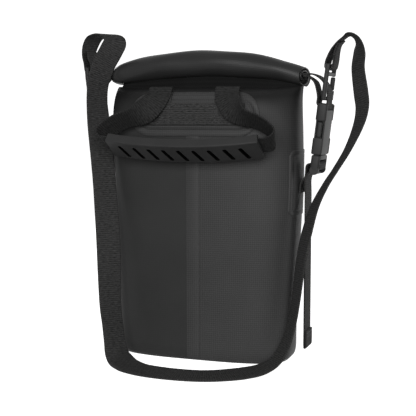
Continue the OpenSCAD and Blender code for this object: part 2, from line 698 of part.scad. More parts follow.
// The shoulder strap: points from the right hook round to the left one, with the direction of its outer edge
strap_route = [
    [141.1, -1.1, 321.1, 0.1, -1, 0],
    [137.9, -0.5, 317.4, 0.05, -1, 0],
    [136, 0, 311.5, 0, -1, 0],
    [135.2, 0, 304, 0, -1, 0],
    [134, 0, 297.7, 0, -1, 0],
    [132.9, 0, 295.1, 0, -1, 0],
    [130.3, 0, 294, 0, -1, 0],
    [127.7, 0, 295.1, 0, -1, 0],
    [126.6, 0, 297.7, 0, -1, 0],
    [128, 0, 304, 0, -1, 0],
    [133, 0, 314, 0, -1, 0],
    [140, -1, 322.5, 0.1, -1, 0],
    [149, -2.5, 327, 0.2, -0.95, 0],
    [156.5, -4.5, 321, 0.4, -0.9, 0],
    [159, -6, 309, 0.6, -0.78, 0],
    [158.5, -7.5, 294, 0.64, -0.76, 0],
    [162, -10, 272, 0.68, -0.72, 0.1],
    [164, -12, 257, 0.65, -0.75, 0.1],
    [161, -14, 240, 0.58, -0.81, 0.05],
    [152, -18, 217, 0.45, -0.9, 0],
    [141, -22.5, 197, 0.43, -0.9, 0.05],
    [132.5, -28, 182, 0.42, -0.9, 0],
    [123, -33, 161, 0.53, -0.84, 0.08],
    [117, -38, 137, 0.6, -0.8, 0.1],
    [112.5, -42, 111, 0.58, -0.81, 0.1],
    [108.5, -47, 69, 0.54, -0.84, 0.11],
    [105.5, -49.5, 48, 0.54, -0.83, 0.12],
    [100.5, -53, 29, 0.6, -0.78, 0.12],
    [93, -59, 13, 0.6, -0.8, 0],
    [82, -69, 5.5, 0.5, -0.85, -0.12],
    [68, -83, 3.4, 0.32, -0.94, -0.16],
    [51, -97, 3.2, 0.27, -0.95, -0.16],
    [33, -106, 3.2, 0.28, -0.94, -0.16],
    [9, -109.5, 3.2, 0.22, -0.96, -0.16],
    [-16, -108, 3.2, 0.2, -0.96, -0.16],
    [-36, -103, 3.4, 0.05, -0.98, -0.17],
    [-53, -93, 4.5, -0.05, -0.96, -0.24],
    [-67, -79, 8, -0.3, -0.89, -0.32],
    [-75, -69, 19, -0.5, -0.86, -0.1],
    [-80, -64, 38, -0.52, -0.85, 0],
    [-84, -60, 60, -0.63, -0.77, 0.08],
    [-89.5, -52, 121, -0.8, -0.59, 0.03],
    [-96, -45, 172, -0.72, -0.7, 0],
    [-101, -40, 203, -0.71, -0.7, 0],
    [-109, -33, 245, -0.6, -0.8, 0],
    [-112, -27, 277, -0.55, -0.84, 0],
    [-108.5, -21, 299, -0.68, -0.73, 0],
    [-101.5, -16, 315.5, -0.75, -0.66, 0],
    [-98, -13, 325, -0.7, -0.71, 0],
    [-102.5, -9.5, 331.5, -0.55, -0.83, 0],
    [-114, -6, 334, -0.42, -0.9, 0],
    [-126, -3, 331, -0.32, -0.95, 0],
    [-132.6, -1, 322, -0.24, -0.97, 0],
    [-135.2, -0.2, 312, -0.1, -1, 0],
    [-134.8, 0, 304, 0, -1, 0],
    [-134, 0, 297.7, 0, -1, 0],
    [-132.9, 0, 295.1, 0, -1, 0],
    [-130.3, 0, 294, 0, -1, 0],
    [-127.7, 0, 295.1, 0, -1, 0],
    [-126.6, 0, 297.7, 0, -1, 0],
    [-127.4, 0, 303.5, 0, -1, 0],
    [-130.2, 0, 310, 0, -1, 0],
    [-130, -0.2, 316.2, 0, -1, 0]
];

module shoulder_strap() {
    color(webbing_dark) webbing([for (r = smooth(strap_route, 2)) concat(r, [web_w])], web_t);
}

// The left pieces mirror the right ones

module left_handle_riser() {
    mirror([1, 0, 0]) right_handle_riser();
}

module left_end_tab() {
    mirror([1, 0, 0]) right_end_tab();
}

module left_buckle_socket() {
    mirror([1, 0, 0]) right_buckle_socket();
}

module left_buckle_plug() {
    mirror([1, 0, 0]) right_buckle_plug();
}

module left_buckle_arm_front() {
    mirror([1, 0, 0]) right_buckle_arm_front();
}

module left_buckle_arm_rear() {
    mirror([1, 0, 0]) right_buckle_arm_rear();
}

module left_side_strap() {
    mirror([1, 0, 0]) right_side_strap();
}

module left_side_patch() {
    mirror([1, 0, 0]) right_side_patch();
}

module left_snap_hook() {
    mirror([1, 0, 0]) right_snap_hook();
}

module left_hook_gate() {
    mirror([1, 0, 0]) right_hook_gate();
}

bag_body();
base_panel();
seam_strip();
collar();
roll_top();
hem_stiffener();
handle_patch();
handle_anchor();
left_handle_riser();
right_handle_riser();
handle_webbing();
handle_grip();
shoulder_strap();
left_end_tab();
right_end_tab();
left_buckle_socket();
right_buckle_socket();
left_buckle_plug();
right_buckle_plug();
left_buckle_arm_front();
right_buckle_arm_front();
left_buckle_arm_rear();
right_buckle_arm_rear();
left_side_strap();
right_side_strap();
left_side_patch();
right_side_patch();
left_snap_hook();
right_snap_hook();
left_hook_gate();
right_hook_gate();
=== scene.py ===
"""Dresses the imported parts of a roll-top dry bag in coated fabric, webbing and moulded plastic."""

import math

import bpy
import numpy as np
from bpy.props import FloatProperty, FloatVectorProperty, IntProperty, PointerProperty
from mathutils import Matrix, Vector


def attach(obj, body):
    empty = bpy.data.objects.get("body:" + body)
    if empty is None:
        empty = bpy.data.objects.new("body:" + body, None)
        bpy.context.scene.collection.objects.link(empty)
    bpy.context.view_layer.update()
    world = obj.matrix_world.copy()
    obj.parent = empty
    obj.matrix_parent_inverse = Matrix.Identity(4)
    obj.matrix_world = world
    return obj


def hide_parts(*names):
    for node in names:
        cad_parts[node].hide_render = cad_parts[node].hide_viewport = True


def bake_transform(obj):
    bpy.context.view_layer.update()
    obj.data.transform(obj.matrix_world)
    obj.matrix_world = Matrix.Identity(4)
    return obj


bl_info = {
    "name": "Roll-top dry bag",
    "version": (1, 0, 0),
    "blender": (4, 5, 0),
    "location": "View3D > Sidebar > Dry Bag",
    "description": "Builds the fabric, webbing and plastic of a roll-top dry bag over its CAD frame",
    "category": "Add Mesh",
}

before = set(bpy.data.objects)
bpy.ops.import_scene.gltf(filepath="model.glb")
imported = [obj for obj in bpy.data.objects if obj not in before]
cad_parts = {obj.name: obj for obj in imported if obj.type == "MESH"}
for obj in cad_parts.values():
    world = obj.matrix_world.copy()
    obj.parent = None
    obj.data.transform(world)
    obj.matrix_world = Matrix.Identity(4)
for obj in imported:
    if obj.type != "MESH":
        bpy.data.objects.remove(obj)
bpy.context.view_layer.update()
SIDES = (("right", 1), ("left", -1))
LAY = "Lay"
# How far welded pieces are sunk in the cloth, and their least corner
SUNK = 0.0003
LEAST_CORNER = 0.0004
# The closed length at each end of the grip, and the plain edge beside a seam
GRIP_END = 0.004
SEAM_MARGIN = 0.002


# Settings

def size(name, text, value):
    return FloatProperty(name=name, description=text, default=value, precision=4,
                         subtype="DISTANCE", unit="LENGTH")


def share(name, text, value):
    return FloatProperty(name=name, description=text, default=value, precision=3)


def turn(name, text, degrees):
    return FloatProperty(name=name, description=text, default=math.radians(degrees),
                         subtype="ANGLE", unit="ROTATION")


def power(name, text, watts):
    return FloatProperty(name=name, description=text, default=watts, unit="POWER")


def colour(name, text, *value):
    """A colour from its three channels, or a grey from one."""
    channels = value if len(value) == 3 else value * 3
    return FloatVectorProperty(name=name, description=text, default=channels, size=3,
                               subtype="COLOR", min=0, max=1)


class BagSize(bpy.types.PropertyGroup):
    body_width: size("Body width", "Widest width of the bag, at the shoulder", 0.201)
    low_width: size("Low width", "Width just above the rounded bottom", 0.189)
    base_width: size("Base width", "Width of the flat base", 0.182)
    neck_width: size("Neck width", "Width of the flattened neck under the roll", 0.201)
    neck_shift: size("Neck shift", "Sideways set of the neck", 0.002)
    body_depth: size("Body depth", "Deepest depth of the bag", 0.086)
    low_depth: size("Low depth", "Depth just above the rounded bottom", 0.084)
    base_depth: size("Base depth", "Depth of the flat base", 0.080)
    neck_depth: size("Neck depth", "Depth of the flattened neck", 0.014)
    bottom_round: size("Bottom round", "Height of the rounded bottom edge", 0.014)
    shoulder_height: size("Shoulder height", "Height at which the bag slopes in to its neck", 0.204)
    base_thickness: size("Base thickness", "Thickness of the base panel", 0.002)
    wall: size("Wall", "Thickness of the coated fabric", 0.0015)
    seam_width: size("Seam width", "Width of the welded overlap at the front", 0.014)
    shoulder_curve: share("Shoulder curve", "Curve of the shoulder, straight at 1", 2.2)
    front_height: size("Front height", "Height up to which the front stays full", 0.245)
    front_curve: share("Front curve", "Curve of the front under the roll, straight at 1", 3.0)
    end_curve: share("End curve", "Curve of the front at the ends of the roll", 1.9)
    neck_drop: share("Neck drop", "Share of the roll's droop that the neck's middle follows", 0.15)
    end_drop: share("End drop", "The same at the neck's ends, below 0 where they rise", -0.25)
    corner_power: share("Corner power", "Squareness of the section, 2 for an ellipse", 3.2)
    fold_height: size("Fold height", "Height of the soft gathers under the roll", 0.0009)


class RollSize(bpy.types.PropertyGroup):
    length: size("Length", "Length of the rolled mouth", 0.213)
    radius: size("Radius", "Radius of the roll at its middle", 0.013)
    end_radius: size("End radius", "Radius of the roll at its ends", 0.0085)
    height: size("Height", "Height of the roll's axis at its middle", 0.303)
    droop: size("Droop", "How far the ends droop below the middle", 0.014)
    collar_height: size("Collar height", "Height of the collar between neck and roll", 0.013)
    thickness: size("Thickness", "Thickness of the rolled fabric", 0.0012)
    turns: share("Turns", "Turns of fabric in the roll", 1.8)
    core: share("Core", "Share of the radius that the core leaves open", 0.48)
    crease_height: size("Crease height", "Height of the soft creases along the roll", 0.0005)
    pinch: share("Pinch", "Share of the radius left at the pinched left end", 0.5)
    pinch_length: size("Pinch length", "Length of the pinched left end", 0.014)
    left_lift: size("Left lift", "How much less the left end droops", 0.0025)
    oblique: size("Oblique", "How much shorter the front of the right end is", 0.0065)


class WebbingSize(bpy.types.PropertyGroup):
    width: size("Width", "Width of the webbing", 0.025)
    thickness: size("Thickness", "Thickness of the webbing", 0.0016)
    rib: size("Rib", "Distance between the webbing's ribs", 0.0021)
    yarn: size("Yarn", "Distance between the webbing's yarns", 0.0012)
    tab_width: size("Tab width", "Width of the end tabs", 0.020)
    tab_neck: size("Tab neck", "Width of an end tab where it leaves the roll", 0.009)
    stitch: size("Stitch", "Length of one stitch", 0.0026)
    thread: size("Thread", "Radius of the sewing thread", 0.00028)
    strap_length: size("Strap length", "Length of the shoulder strap", 1.0)


class HandleSize(bpy.types.PropertyGroup):
    patch_width: size("Patch width", "Length of the welded patch", 0.137)
    patch_height: size("Patch height", "Height of the welded patch", 0.044)
    patch_middle: size("Patch middle", "Height of the middle of the patch", 0.250)
    patch_thickness: size("Patch thickness", "Thickness of the welded patches", 0.0009)
    band_width: size("Band width", "Length of the sewn webbing band", 0.108)
    band_height: size("Band height", "Height of the sewn webbing band", 0.022)
    strap_place: size("Strap place", "Distance from the middle to each handle strap", 0.0355)
    fold_height: size("Fold height", "Height of the fold that the handle swings on", 0.275)
    fold_reach: size("Fold reach", "Distance of the fold in front of the middle", 0.037)
    fold_radius: size("Fold radius", "Radius of the fold", 0.0019)
    grip_length: size("Grip length", "Length of the moulded grip", 0.155)
    grip_bow: size("Grip bow", "How far the grip is bowed", 0.006)
    grip_height: size("Grip height", "Height of the grip's ends", 0.2215)
    grip_reach: size("Grip reach", "Distance of the grip's ends in front of the middle", 0.065)
    grip_lean: turn("Grip lean", "Lean of the grip's face under the horizontal", 56)
    side_patch_depth: size("Side patch depth", "Depth of a side patch", 0.049)
    side_patch_height: size("Side patch height", "Height of a side patch", 0.066)
    side_patch_middle: size("Side patch middle", "Height of the middle of a side patch", 0.182)


class BuckleSize(bpy.types.PropertyGroup):
    place: size("Place", "Distance from the middle to the buckle", 0.1196)
    height: size("Height", "Height of the buckle's parting line", 0.2105)
    lean: turn("Lean", "Outward lean of the buckle", 7)
    bar_height: size("Bar height", "Height of the webbing bar above the parting line", 0.0472)
    bar_radius: size("Bar radius", "Radius of the webbing bar", 0.0024)
    socket_width: size("Socket width", "Width of the socket", 0.034)
    socket_thickness: size("Socket thickness", "Thickness of the socket", 0.0106)
    socket_height: size("Socket height", "Length of the socket's body", 0.0445)
    ear_height: size("Ear height", "How far the socket's ears stand above its bar", 0.004)
    wall: size("Wall", "Wall of the socket", 0.0017)
    step: size("Step", "How far the socket's rounded sides stand above its broad faces", 0.0005)
    window_height: size("Window height", "Length of the side windows", 0.016)
    window_place: size("Window place", "Height of the side windows above the parting line", 0.017)
    arm_width: size("Arm width", "Width of a squeeze arm", 0.0036)
    arm_thickness: size("Arm thickness", "Thickness of the squeeze arms", 0.005)
    lock_height: size("Lock height", "Length of the ladder lock under the parting line", 0.020)
    lock_thickness: size("Lock thickness", "Thickness of the ladder lock", 0.009)
    lock_depth: size("Lock depth", "Depth of the ladder lock's bar under the parting line", 0.0117)
    lock_radius: size("Lock radius", "Radius of the ladder lock's bar", 0.0028)
    edge_radius: size("Edge radius", "Radius of the ladder lock's lower edge bar", 0.0012)
    clearance: size("Clearance", "Running clearance of the moving pieces", 0.00035)


class HookSize(bpy.types.PropertyGroup):
    rise: size("Rise", "Height of the hook's lower bar above the socket's bar", 0.0086)
    width: size("Width", "Outer width of the hook", 0.035)
    thickness: size("Thickness", "Thickness of the hook", 0.0046)
    leg: size("Leg", "Width of the hook's legs", 0.004)
    height: size("Height", "Length from the lower bar to the eye bar", 0.032)
    cross: size("Cross bar", "Height of the cross bar above the lower bar", 0.024)
    eye_leg: size("Eye leg", "Width of the legs beside the eye", 0.003)
    eye_radius: size("Eye radius", "Radius of the eye bar", 0.0021)
    gate: size("Gate", "Height of the gate's pivot above the lower bar", 0.0055)
    pin: size("Pin", "Radius of the gate's pivot pin", 0.0009)
    nose: size("Nose", "Length of the nose that the gate closes on", 0.0022)
    cheek: size("Cheek", "Thickness of the cheeks beside the gate's knuckle", 0.0009)


class Finishes(bpy.types.PropertyGroup):
    fabric: colour("Fabric", "Colour of the coated fabric", 0.0295)
    # Smooth panel: its smoother weave is real; its darker colour is painted shade for the panel's
    # duller sheen
    smooth: colour("Smooth panel", "Colour of the smoother front panel", 0.0190, 0.0192, 0.0190)
    rolled: colour("Rolled cloth", "Colour of the cloth rolled up at the mouth", 0.0170)
    # Painted shade: the collar's cloth is made darker for the shadow under the roll
    collar: colour("Collar", "Colour of the collar's cloth", 0.0065)
    # Painted shade: the near black that the cloth darkens to under the roll, also used on the
    # handle's webbing inside the grip
    mouth: colour("Mouth cloth", "Colour of the cloth where its coat ends", 0.0060)
    patch: colour("Patch", "Colour of the welded patches", 0.0295)
    webbing: colour("Webbing", "Colour of the webbing", 0.0250, 0.0249, 0.0247)
    handle: colour("Handle webbing", "Colour of the handle's darker webbing", 0.0165, 0.0165, 0.0164)
    plastic: colour("Plastic", "Colour of the moulded plastic", 0.0180)
    # Painted shade: near black for the shadow deep in the grip's slots
    slot: colour("Slot", "Colour of the plastic inside the grip's slots", 0.0020)
    thread: colour("Thread", "Colour of the sewing thread", 0.0080, 0.0081, 0.0083)
    weave: size("Weave", "Distance between the fabric's threads", 0.0021)


class StageLook(bpy.types.PropertyGroup):
    floor_shade: colour("Floor", "Colour of the floor", 0.90)
    floor_bounce: colour("Bounce", "Colour of the floor in the light it throws back", 0.08)
    floor_glow: share("Floor glow", "Lift of the floor's white where it is looked at", 0.93)
    front_power: power("Front light", "Power of the soft light from the front right", 27)
    right_power: power("Right light", "Power of the strip light that rims the right side", 8)
    left_power: power("Left light", "Power of the strip light that rims the left side", 7)
    sky: share("Sky", "Strength of the surrounding light", 0.06)
    picture: IntProperty(name="Picture", description="Side of the picture in pixels", default=416)


class DryBag(bpy.types.PropertyGroup):
    bag: PointerProperty(type=BagSize)
    roll: PointerProperty(type=RollSize)
    web: PointerProperty(type=WebbingSize)
    handle: PointerProperty(type=HandleSize)
    buckle: PointerProperty(type=BuckleSize)
    hook: PointerProperty(type=HookSize)
    finish: PointerProperty(type=Finishes)
    stage: PointerProperty(type=StageLook)


def settings():
    return bpy.context.scene.dry_bag


# Shader maths

class Value:
    """A shader value: arithmetic on it adds Math nodes to its tree."""

    def __init__(self, tree, socket):
        self.tree = tree
        self.socket = socket

    def math(self, operation, *values):
        inputs = dict(enumerate(values))
        return self.tree.node("ShaderNodeMath", {"operation": operation}, inputs)

    def __add__(self, other):
        return self.math("ADD", self, other)

    def __radd__(self, other):
        return self.math("ADD", other, self)

    def __sub__(self, other):
        return self.math("SUBTRACT", self, other)

    def __rsub__(self, other):
        return self.math("SUBTRACT", other, self)

    def __mul__(self, other):
        return self.math("MULTIPLY", self, other)

    def __rmul__(self, other):
        return self.math("MULTIPLY", other, self)

    def sine(self):
        return self.math("SINE", self)

    def clamped(self):
        return self.math("MAXIMUM", self.math("MINIMUM", self, 1.0), 0.0)


class Tree:
    """The node tree of a material or the world."""

    def __init__(self, owner):
        owner.use_nodes = True
        self.nodes = owner.node_tree.nodes
        self.links = owner.node_tree.links
        self.nodes.clear()

    def node(self, kind, setup=None, inputs=None, output=0):
        made = self.nodes.new(kind)
        for key, value in (setup or {}).items():
            setattr(made, key, value)
        for key, value in (inputs or {}).items():
            if isinstance(value, Value):
                self.links.new(value.socket, made.inputs[key])
            else:
                made.inputs[key].default_value = value
        return Value(self, made.outputs[output]) if len(made.outputs) else made

    def blend(self, factor, low, high):
        """A colour between two, by a value."""
        return self.node("ShaderNodeMix", {"data_type": "RGBA"}, {0: factor, 6: low, 7: high}, 2)

    def tints(self, factor, base, low, high):
        """A colour between a darker and a lighter tint of a base, by a value."""
        return self.blend(factor, tinted(base, low), tinted(base, high))

    def noise(self, scale, detail=3.0, rough=0.5, vector=None):
        inputs = {"Scale": scale, "Detail": detail, "Roughness": rough}
        inputs["Vector"] = vector or self.node("ShaderNodeTexCoord", output=3)
        return self.node("ShaderNodeTexNoise", {}, inputs)

    def lay(self):
        """The place on the cloth in metres: across it and along it."""
        flat = self.node("ShaderNodeUVMap", {"uv_map": LAY})
        parts = self.node("ShaderNodeSeparateXYZ", {}, {0: flat})
        return parts, Value(self, parts.socket.node.outputs[1])

    def shader(self, **inputs):
        named = {key.replace("_", " ").title().replace("Ior", "IOR"): value
                 for key, value in inputs.items()}
        return self.node("ShaderNodeBsdfPrincipled", {}, named)

    def surface(self, **inputs):
        self.node("ShaderNodeOutputMaterial", {}, {0: self.shader(**inputs)})

    def bump(self, height, distance, strength=1.0):
        return self.node("ShaderNodeBump", {},
                         {"Height": height, "Distance": distance, "Strength": strength})


def tinted(base, amount=1.0):
    return (*(channel * amount for channel in base), 1)


LOOKS = {}


def new_material(name):
    """A material and its empty tree, or the material alone if it was made before."""
    if name in LOOKS:
        return LOOKS[name], None
    LOOKS[name] = bpy.data.materials.new(name)
    return LOOKS[name], Tree(LOOKS[name])


def fabric_material(name="coated_cloth", base=None, relief=1.0, shine=0.1, shade_span=None, rough=0.44):
    """Coated cloth whose threads show faintly through the coat. Given two lengths along the
    cloth, it darkens between them to near black, a painted shade for the shadow under the roll."""
    finish = settings().finish
    base = base or finish.fabric
    material, tree = new_material(name)
    if tree is None:
        return material
    across, along = tree.lay()
    pitch = 2 * math.pi / finish.weave
    threads = ((across * pitch).sine() + (along * pitch).sine()) * 0.25 + 0.5
    cloud = tree.noise(14.0, 3.0, 0.55)
    grain = tree.noise(1100.0, 2.0, 0.6)
    tone = cloud * 0.4 + (threads * 0.6 + grain * 0.4) * (0.6 * relief) + 0.3 * (1 - relief)
    shade = tree.tints(tone, base, 0.3, 1.65)
    # Painted shade: towards the neck the colour darkens to near black for the shadow under the roll
    if shade_span:
        start, end = shade_span
        shade_share = ((along - start) * (1 / (end - start))).clamped()
        shade = tree.blend(shade_share * shade_share, shade, tinted(finish.mouth))
    tree.surface(
        base_color=shade,
        roughness=rough + cloud * 0.08 + grain * 0.06,
        specular_ior_level=shine,
        normal=tree.bump(threads * 0.7 + grain * 0.3, 0.00014 * relief + 0.00002, 0.8))
    return material


def shade_black_material():
    """Near-black cloth, a painted shade for the shadow on the webbing inside the grip."""
    return fabric_material("shade_black_cloth", settings().finish.mouth, 0.3, 0.0)


def webbing_material(name="ribbed_webbing", base=None):
    """Ribbed webbing: uneven ribs across its length, fine yarns along it."""
    finish, web = settings().finish, settings().web
    base = base or finish.webbing
    material, tree = new_material(name)
    if tree is None:
        return material
    across, along = tree.lay()
    streak_place = tree.node("ShaderNodeCombineXYZ", {}, {0: across * 260, 1: along * 900})
    streak = tree.noise(1.0, 3.0, 0.65, streak_place)
    sway = (along * (math.pi / web.rib)).sine() * 1.5
    yarn = (across * (2 * math.pi / web.yarn) + sway).sine() * 0.5 + 0.5
    ribs = (along * (2 * math.pi / web.rib) + streak * 5.0).sine() * 0.5 + 0.5
    fuzz = tree.noise(1500.0, 2.0, 0.7)
    height = ribs * 0.6 + yarn * 0.25 + streak * 0.3
    tone = ((ribs * 0.28 + streak * 1.5 + fuzz * 0.5) - 0.65).clamped()
    tree.surface(
        base_color=tree.tints(tone, base, 0.1, 2.0),
        roughness=0.62 + fuzz * 0.2,
        specular_ior_level=0.04,
        normal=tree.bump(height, 0.00022, 0.8))
    return material


def plastic_material(name="satin_plastic", base=None, rough=0.42, shine=0.12):
    """Moulded plastic with a fine spark-eroded grain."""
    base = base or settings().finish.plastic
    material, tree = new_material(name)
    if tree is None:
        return material
    grain = tree.noise(1400.0, 2.0, 0.6)
    flow = tree.noise(45.0, 3.0, 0.5)
    tree.surface(
        base_color=tree.tints(flow, base, 0.8, 1.25),
        roughness=rough + grain * 0.1 + flow * 0.06,
        specular_ior_level=shine,
        normal=tree.bump(grain, 0.00006, 0.6))
    return material


def thread_material():
    """Twisted sewing thread."""
    material, tree = new_material("sewing_thread")
    if tree is None:
        return material
    twist = tree.noise(2600.0, 1.0, 0.5)
    tree.surface(
        base_color=tree.tints(twist, settings().finish.thread, 0.6, 1.8),
        roughness=0.5 + twist * 0.15,
        normal=tree.bump(twist, 0.0001, 0.6))
    return material


# Mesh making

def piece(name, points, faces, material, places=None, sharp=None):
    """A mesh object; places gives each corner of each face its place on the cloth."""
    mesh = bpy.data.meshes.new(name)
    mesh.from_pydata([tuple(p) for p in points], [], faces)
    if places is not None:
        layer = mesh.uv_layers.new(name=LAY)
        layer.uv.foreach_set("vector", np.asarray(places, np.float32).ravel())
    mesh.materials.append(material)
    mesh.polygons.foreach_set("use_smooth", [True] * len(mesh.polygons))
    if sharp:
        mesh.set_sharp_from_angle(angle=math.radians(sharp))
    made = bpy.data.objects.new(name, mesh)
    bpy.context.scene.collection.objects.link(made)
    return made


def slab(name, top, bottom, lay, material, sharp=None, round_trip=False):
    """A closed thin solid between two grids of points, joined all round its edge.
    With round_trip the columns close on themselves and only the first and last rows have an edge."""
    rows, columns = top.shape[:2]
    count = rows * columns
    steps = columns if round_trip else columns - 1
    faces, places = [], []

    def quad(corners, flip, layer_of):
        ordered = corners[::-1] if flip else corners
        faces.append([layer + i * columns + j % columns for (i, j), layer in zip(ordered, layer_of)])
        places.extend(lay[i][j] for i, j in ordered)

    for i in range(rows - 1):
        for j in range(steps):
            corners = [(i, j), (i, j + 1), (i + 1, j + 1), (i + 1, j)]
            quad(corners, False, [0] * 4)
            quad(corners, True, [count] * 4)

    def edge(a, b):
        quad([a, b, b, a], False, [0, 0, count, count])

    for j in range(steps):
        edge((0, j + 1), (0, j))
        edge((rows - 1, j), (rows - 1, j + 1))
    if not round_trip:
        for i in range(rows - 1):
            edge((i, 0), (i + 1, 0))
            edge((i + 1, columns - 1), (i, columns - 1))
    points = np.concatenate([top.reshape(-1, 3), bottom.reshape(-1, 3)])
    return piece(name, points, faces, material, places, sharp)


def unit(vectors):
    return vectors / np.maximum(np.linalg.norm(vectors, axis=-1, keepdims=True), 1e-12)


def lerp(a, b, t):
    return a + (b - a) * t


def ease(t):
    return t * t * (3 - 2 * t)


def smooth(rows, steps):
    """A smooth curve through given rows, with so many steps in each span."""
    rows = np.asarray(rows, float)
    made = []
    last = len(rows) - 1
    for i in range(last):
        a, b, c, d = rows[max(i - 1, 0)], rows[i], rows[i + 1], rows[min(i + 2, last)]
        for k in range(steps):
            t = k / steps
            made.append((2 * b + (c - a) * t + (2 * a - 5 * b + 4 * c - d) * t ** 2
                         + (3 * b - a - 3 * c + d) * t ** 3) / 2)
    return np.array(made + [rows[last]])


def run_length(points):
    return np.concatenate([[0], np.cumsum(np.linalg.norm(np.diff(points, axis=0), axis=1))])


# Place across a webbing's half width and share of its thickness there
WEB_SECTION = ((-1, 0.25), (-0.985, 0.72), (-0.94, 0.95), (-0.8, 1), (-0.4, 0.96), (0, 1),
               (0.4, 0.96), (0.8, 1), (0.94, 0.95), (0.985, 0.72), (1, 0.25))


def webbing(name, rows, material=None):
    """Webbing along rows of place, edge direction and width."""
    thickness = settings().web.thickness
    place, edge, width = rows[:, :3], rows[:, 3:6], rows[:, 6:7]
    along = unit(np.gradient(place, axis=0))
    side = unit(edge - along * np.sum(edge * along, axis=1, keepdims=True)) * width / 2
    face = unit(np.cross(along, side)) * thickness / 2
    length = run_length(place)
    over = np.stack([place + side * s + face * t for s, t in WEB_SECTION], axis=1)
    under = np.stack([place + side * s - face * t for s, t in WEB_SECTION], axis=1)
    lay = [[(s * w / 2, v) for s, _ in WEB_SECTION] for w, v in zip(width[:, 0], length)]
    return slab(name, under, over, lay, material or webbing_material(), sharp=50)


def with_width(rows, width):
    rows = np.asarray(rows, float)
    return np.hstack([rows, np.full((len(rows), 1), width)])


def on_side(rows, sign):
    """Rows of webbing on the right side of the bag, or mirrored to its left."""
    return rows * np.array([sign, 1, 1, 1, 1, 1, 1])


# Places along one stitch, and how far its thread lifts there in radii
STITCH_SPOTS = (0.1, 0.3, 0.5, 0.7, 0.9)
STITCH_LIFTS = (-0.9, 0.35, 0.6, 0.35, -0.9)
STITCH_GAP = 0.32


def read_off(spots, run, rows):
    """Rows read off at distances along a line."""
    return np.stack([np.interp(spots, run, column) for column in rows.T], axis=-1)


def stitching(name, lines):
    """Rows of stitches: each line is its points and the directions out of the cloth there."""
    length, radius = settings().web.stitch, settings().web.thread
    sides, rings = 6, len(STITCH_SPOTS)
    lift = np.array(STITCH_LIFTS)[:, None] * radius
    points, faces = [], []
    for line, outward in lines:
        line, outward = np.asarray(line, float), unit(np.asarray(outward, float))
        total = run_length(line)
        count = max(1, int(total[-1] / (length * (1 + STITCH_GAP))))
        pitch = total[-1] / count
        for k in range(count):
            spots = [k * pitch + pitch * f for f in STITCH_SPOTS]
            centre = read_off(spots, total, line)
            out = unit(read_off(spots, total, outward))
            side = unit(np.cross(np.gradient(centre, axis=0), out))
            centre = centre + out * lift
            first = len(points)
            for c, s, o in zip(centre, side, out):
                for a in range(sides):
                    angle = a * 2 * math.pi / sides
                    points.append(c + (s * math.cos(angle) + o * math.sin(angle)) * radius)
            for low in range(first, first + (rings - 1) * sides, sides):
                for a in range(sides):
                    b = (a + 1) % sides
                    faces.append([low + a, low + b, low + sides + b, low + sides + a])
            faces.append([first + a for a in range(sides - 1, -1, -1)])
            faces.append([first + (rings - 1) * sides + a for a in range(sides)])
    return piece(name, points, faces, thread_material())


# Moulded shapes, as lists of points and faces

def moulded_box(low, high, radius):
    """A box with rounded edges and corners, by one radius or one for each axis."""
    low, high = np.array(low, float), np.array(high, float)
    middle, half = (low + high) / 2, (high - low) / 2
    limit = half.min() if np.ndim(radius) == 0 else half
    radius = np.minimum(radius, 0.98 * limit) * np.ones(3)
    core = half - radius
    steps = 5
    quadrants = ((1, 1), (-1, 1), (-1, -1), (1, -1))
    turns = [(q, (q + k / steps) * math.pi / 2) for q in range(4) for k in range(steps + 1)]
    points, rings = [], []
    for end in (-1, 1):
        climbs = np.linspace(0, math.pi / 2, steps + 1)[:-1]
        for climb in (-climbs[::-1] if end < 0 else climbs):
            rings.append(len(points))
            for q, angle in turns:
                corner = core * (*quadrants[q], end)
                flat = math.cos(climb)
                outward = (flat * math.cos(angle), flat * math.sin(angle), math.sin(climb))
                points.append(middle + corner + radius * np.array(outward))
    count = len(turns)
    faces = [[a + j, a + (j + 1) % count, b + (j + 1) % count, b + j]
             for a, b in zip(rings, rings[1:]) for j in range(count)]
    for end, ring in ((-1, rings[0]), (1, rings[-1])):
        cap = len(points)
        points += [middle + (core[0] * x, core[1] * y, half[2] * end) for x, y in quadrants]
        made = [[cap, cap + 1, cap + 2, cap + 3]]
        for q in range(4):
            first = ring + q * (steps + 1)
            made += [[first + k, first + k + 1, cap + q] for k in range(steps)]
            after = (q + 1) % 4
            made.append([first + steps, ring + after * (steps + 1), cap + after, cap + q])
        faces += made if end > 0 else [face[::-1] for face in made]
    return np.array(points), faces


def moulded_bar(place, radius, length, axis=1):
    """A round bar about a place, along Y unless another axis is given."""
    sides = 24
    one, two = [k for k in range(3) if k != axis]
    points = []
    for end in (-0.5, 0.5):
        for angle in np.linspace(0, 2 * math.pi, sides, endpoint=False):
            point = np.array(place, float)
            point[axis] += end * length
            point[one] += radius * math.cos(angle)
            point[two] += radius * math.sin(angle)
            points.append(point)
    faces = [[j, (j + 1) % sides, sides + (j + 1) % sides, sides + j] for j in range(sides)]
    faces += [list(range(sides - 1, -1, -1)), list(range(sides, 2 * sides))]
    if axis == 1:
        faces = [face[::-1] for face in faces]
    return np.array(points), faces


def side_box(s, half, across, up, radius):
    """A rounded box of one half thickness, on the side s, between two distances from the middle."""
    near, far = sorted((s * across[0], s * across[1]))
    return moulded_box((-half, near, up[0]), (half, far, up[1]), radius)


def moulding(name, shapes, lift, sign, material):
    """One moulded piece from its shapes, leaning with the buckle on its side of the bag."""
    points, faces = [], []
    for spots, sheets in shapes:
        first = sum(len(part) for part in points)
        x, z = from_buckle(spots[:, 0], spots[:, 2] + lift)
        points.append(np.stack([sign * x, spots[:, 1], z], axis=-1))
        faces += [[first + v for v in (face if sign > 0 else face[::-1])] for face in sheets]
    return piece(name, np.concatenate(points), faces, material, sharp=50)


# The bag's skin

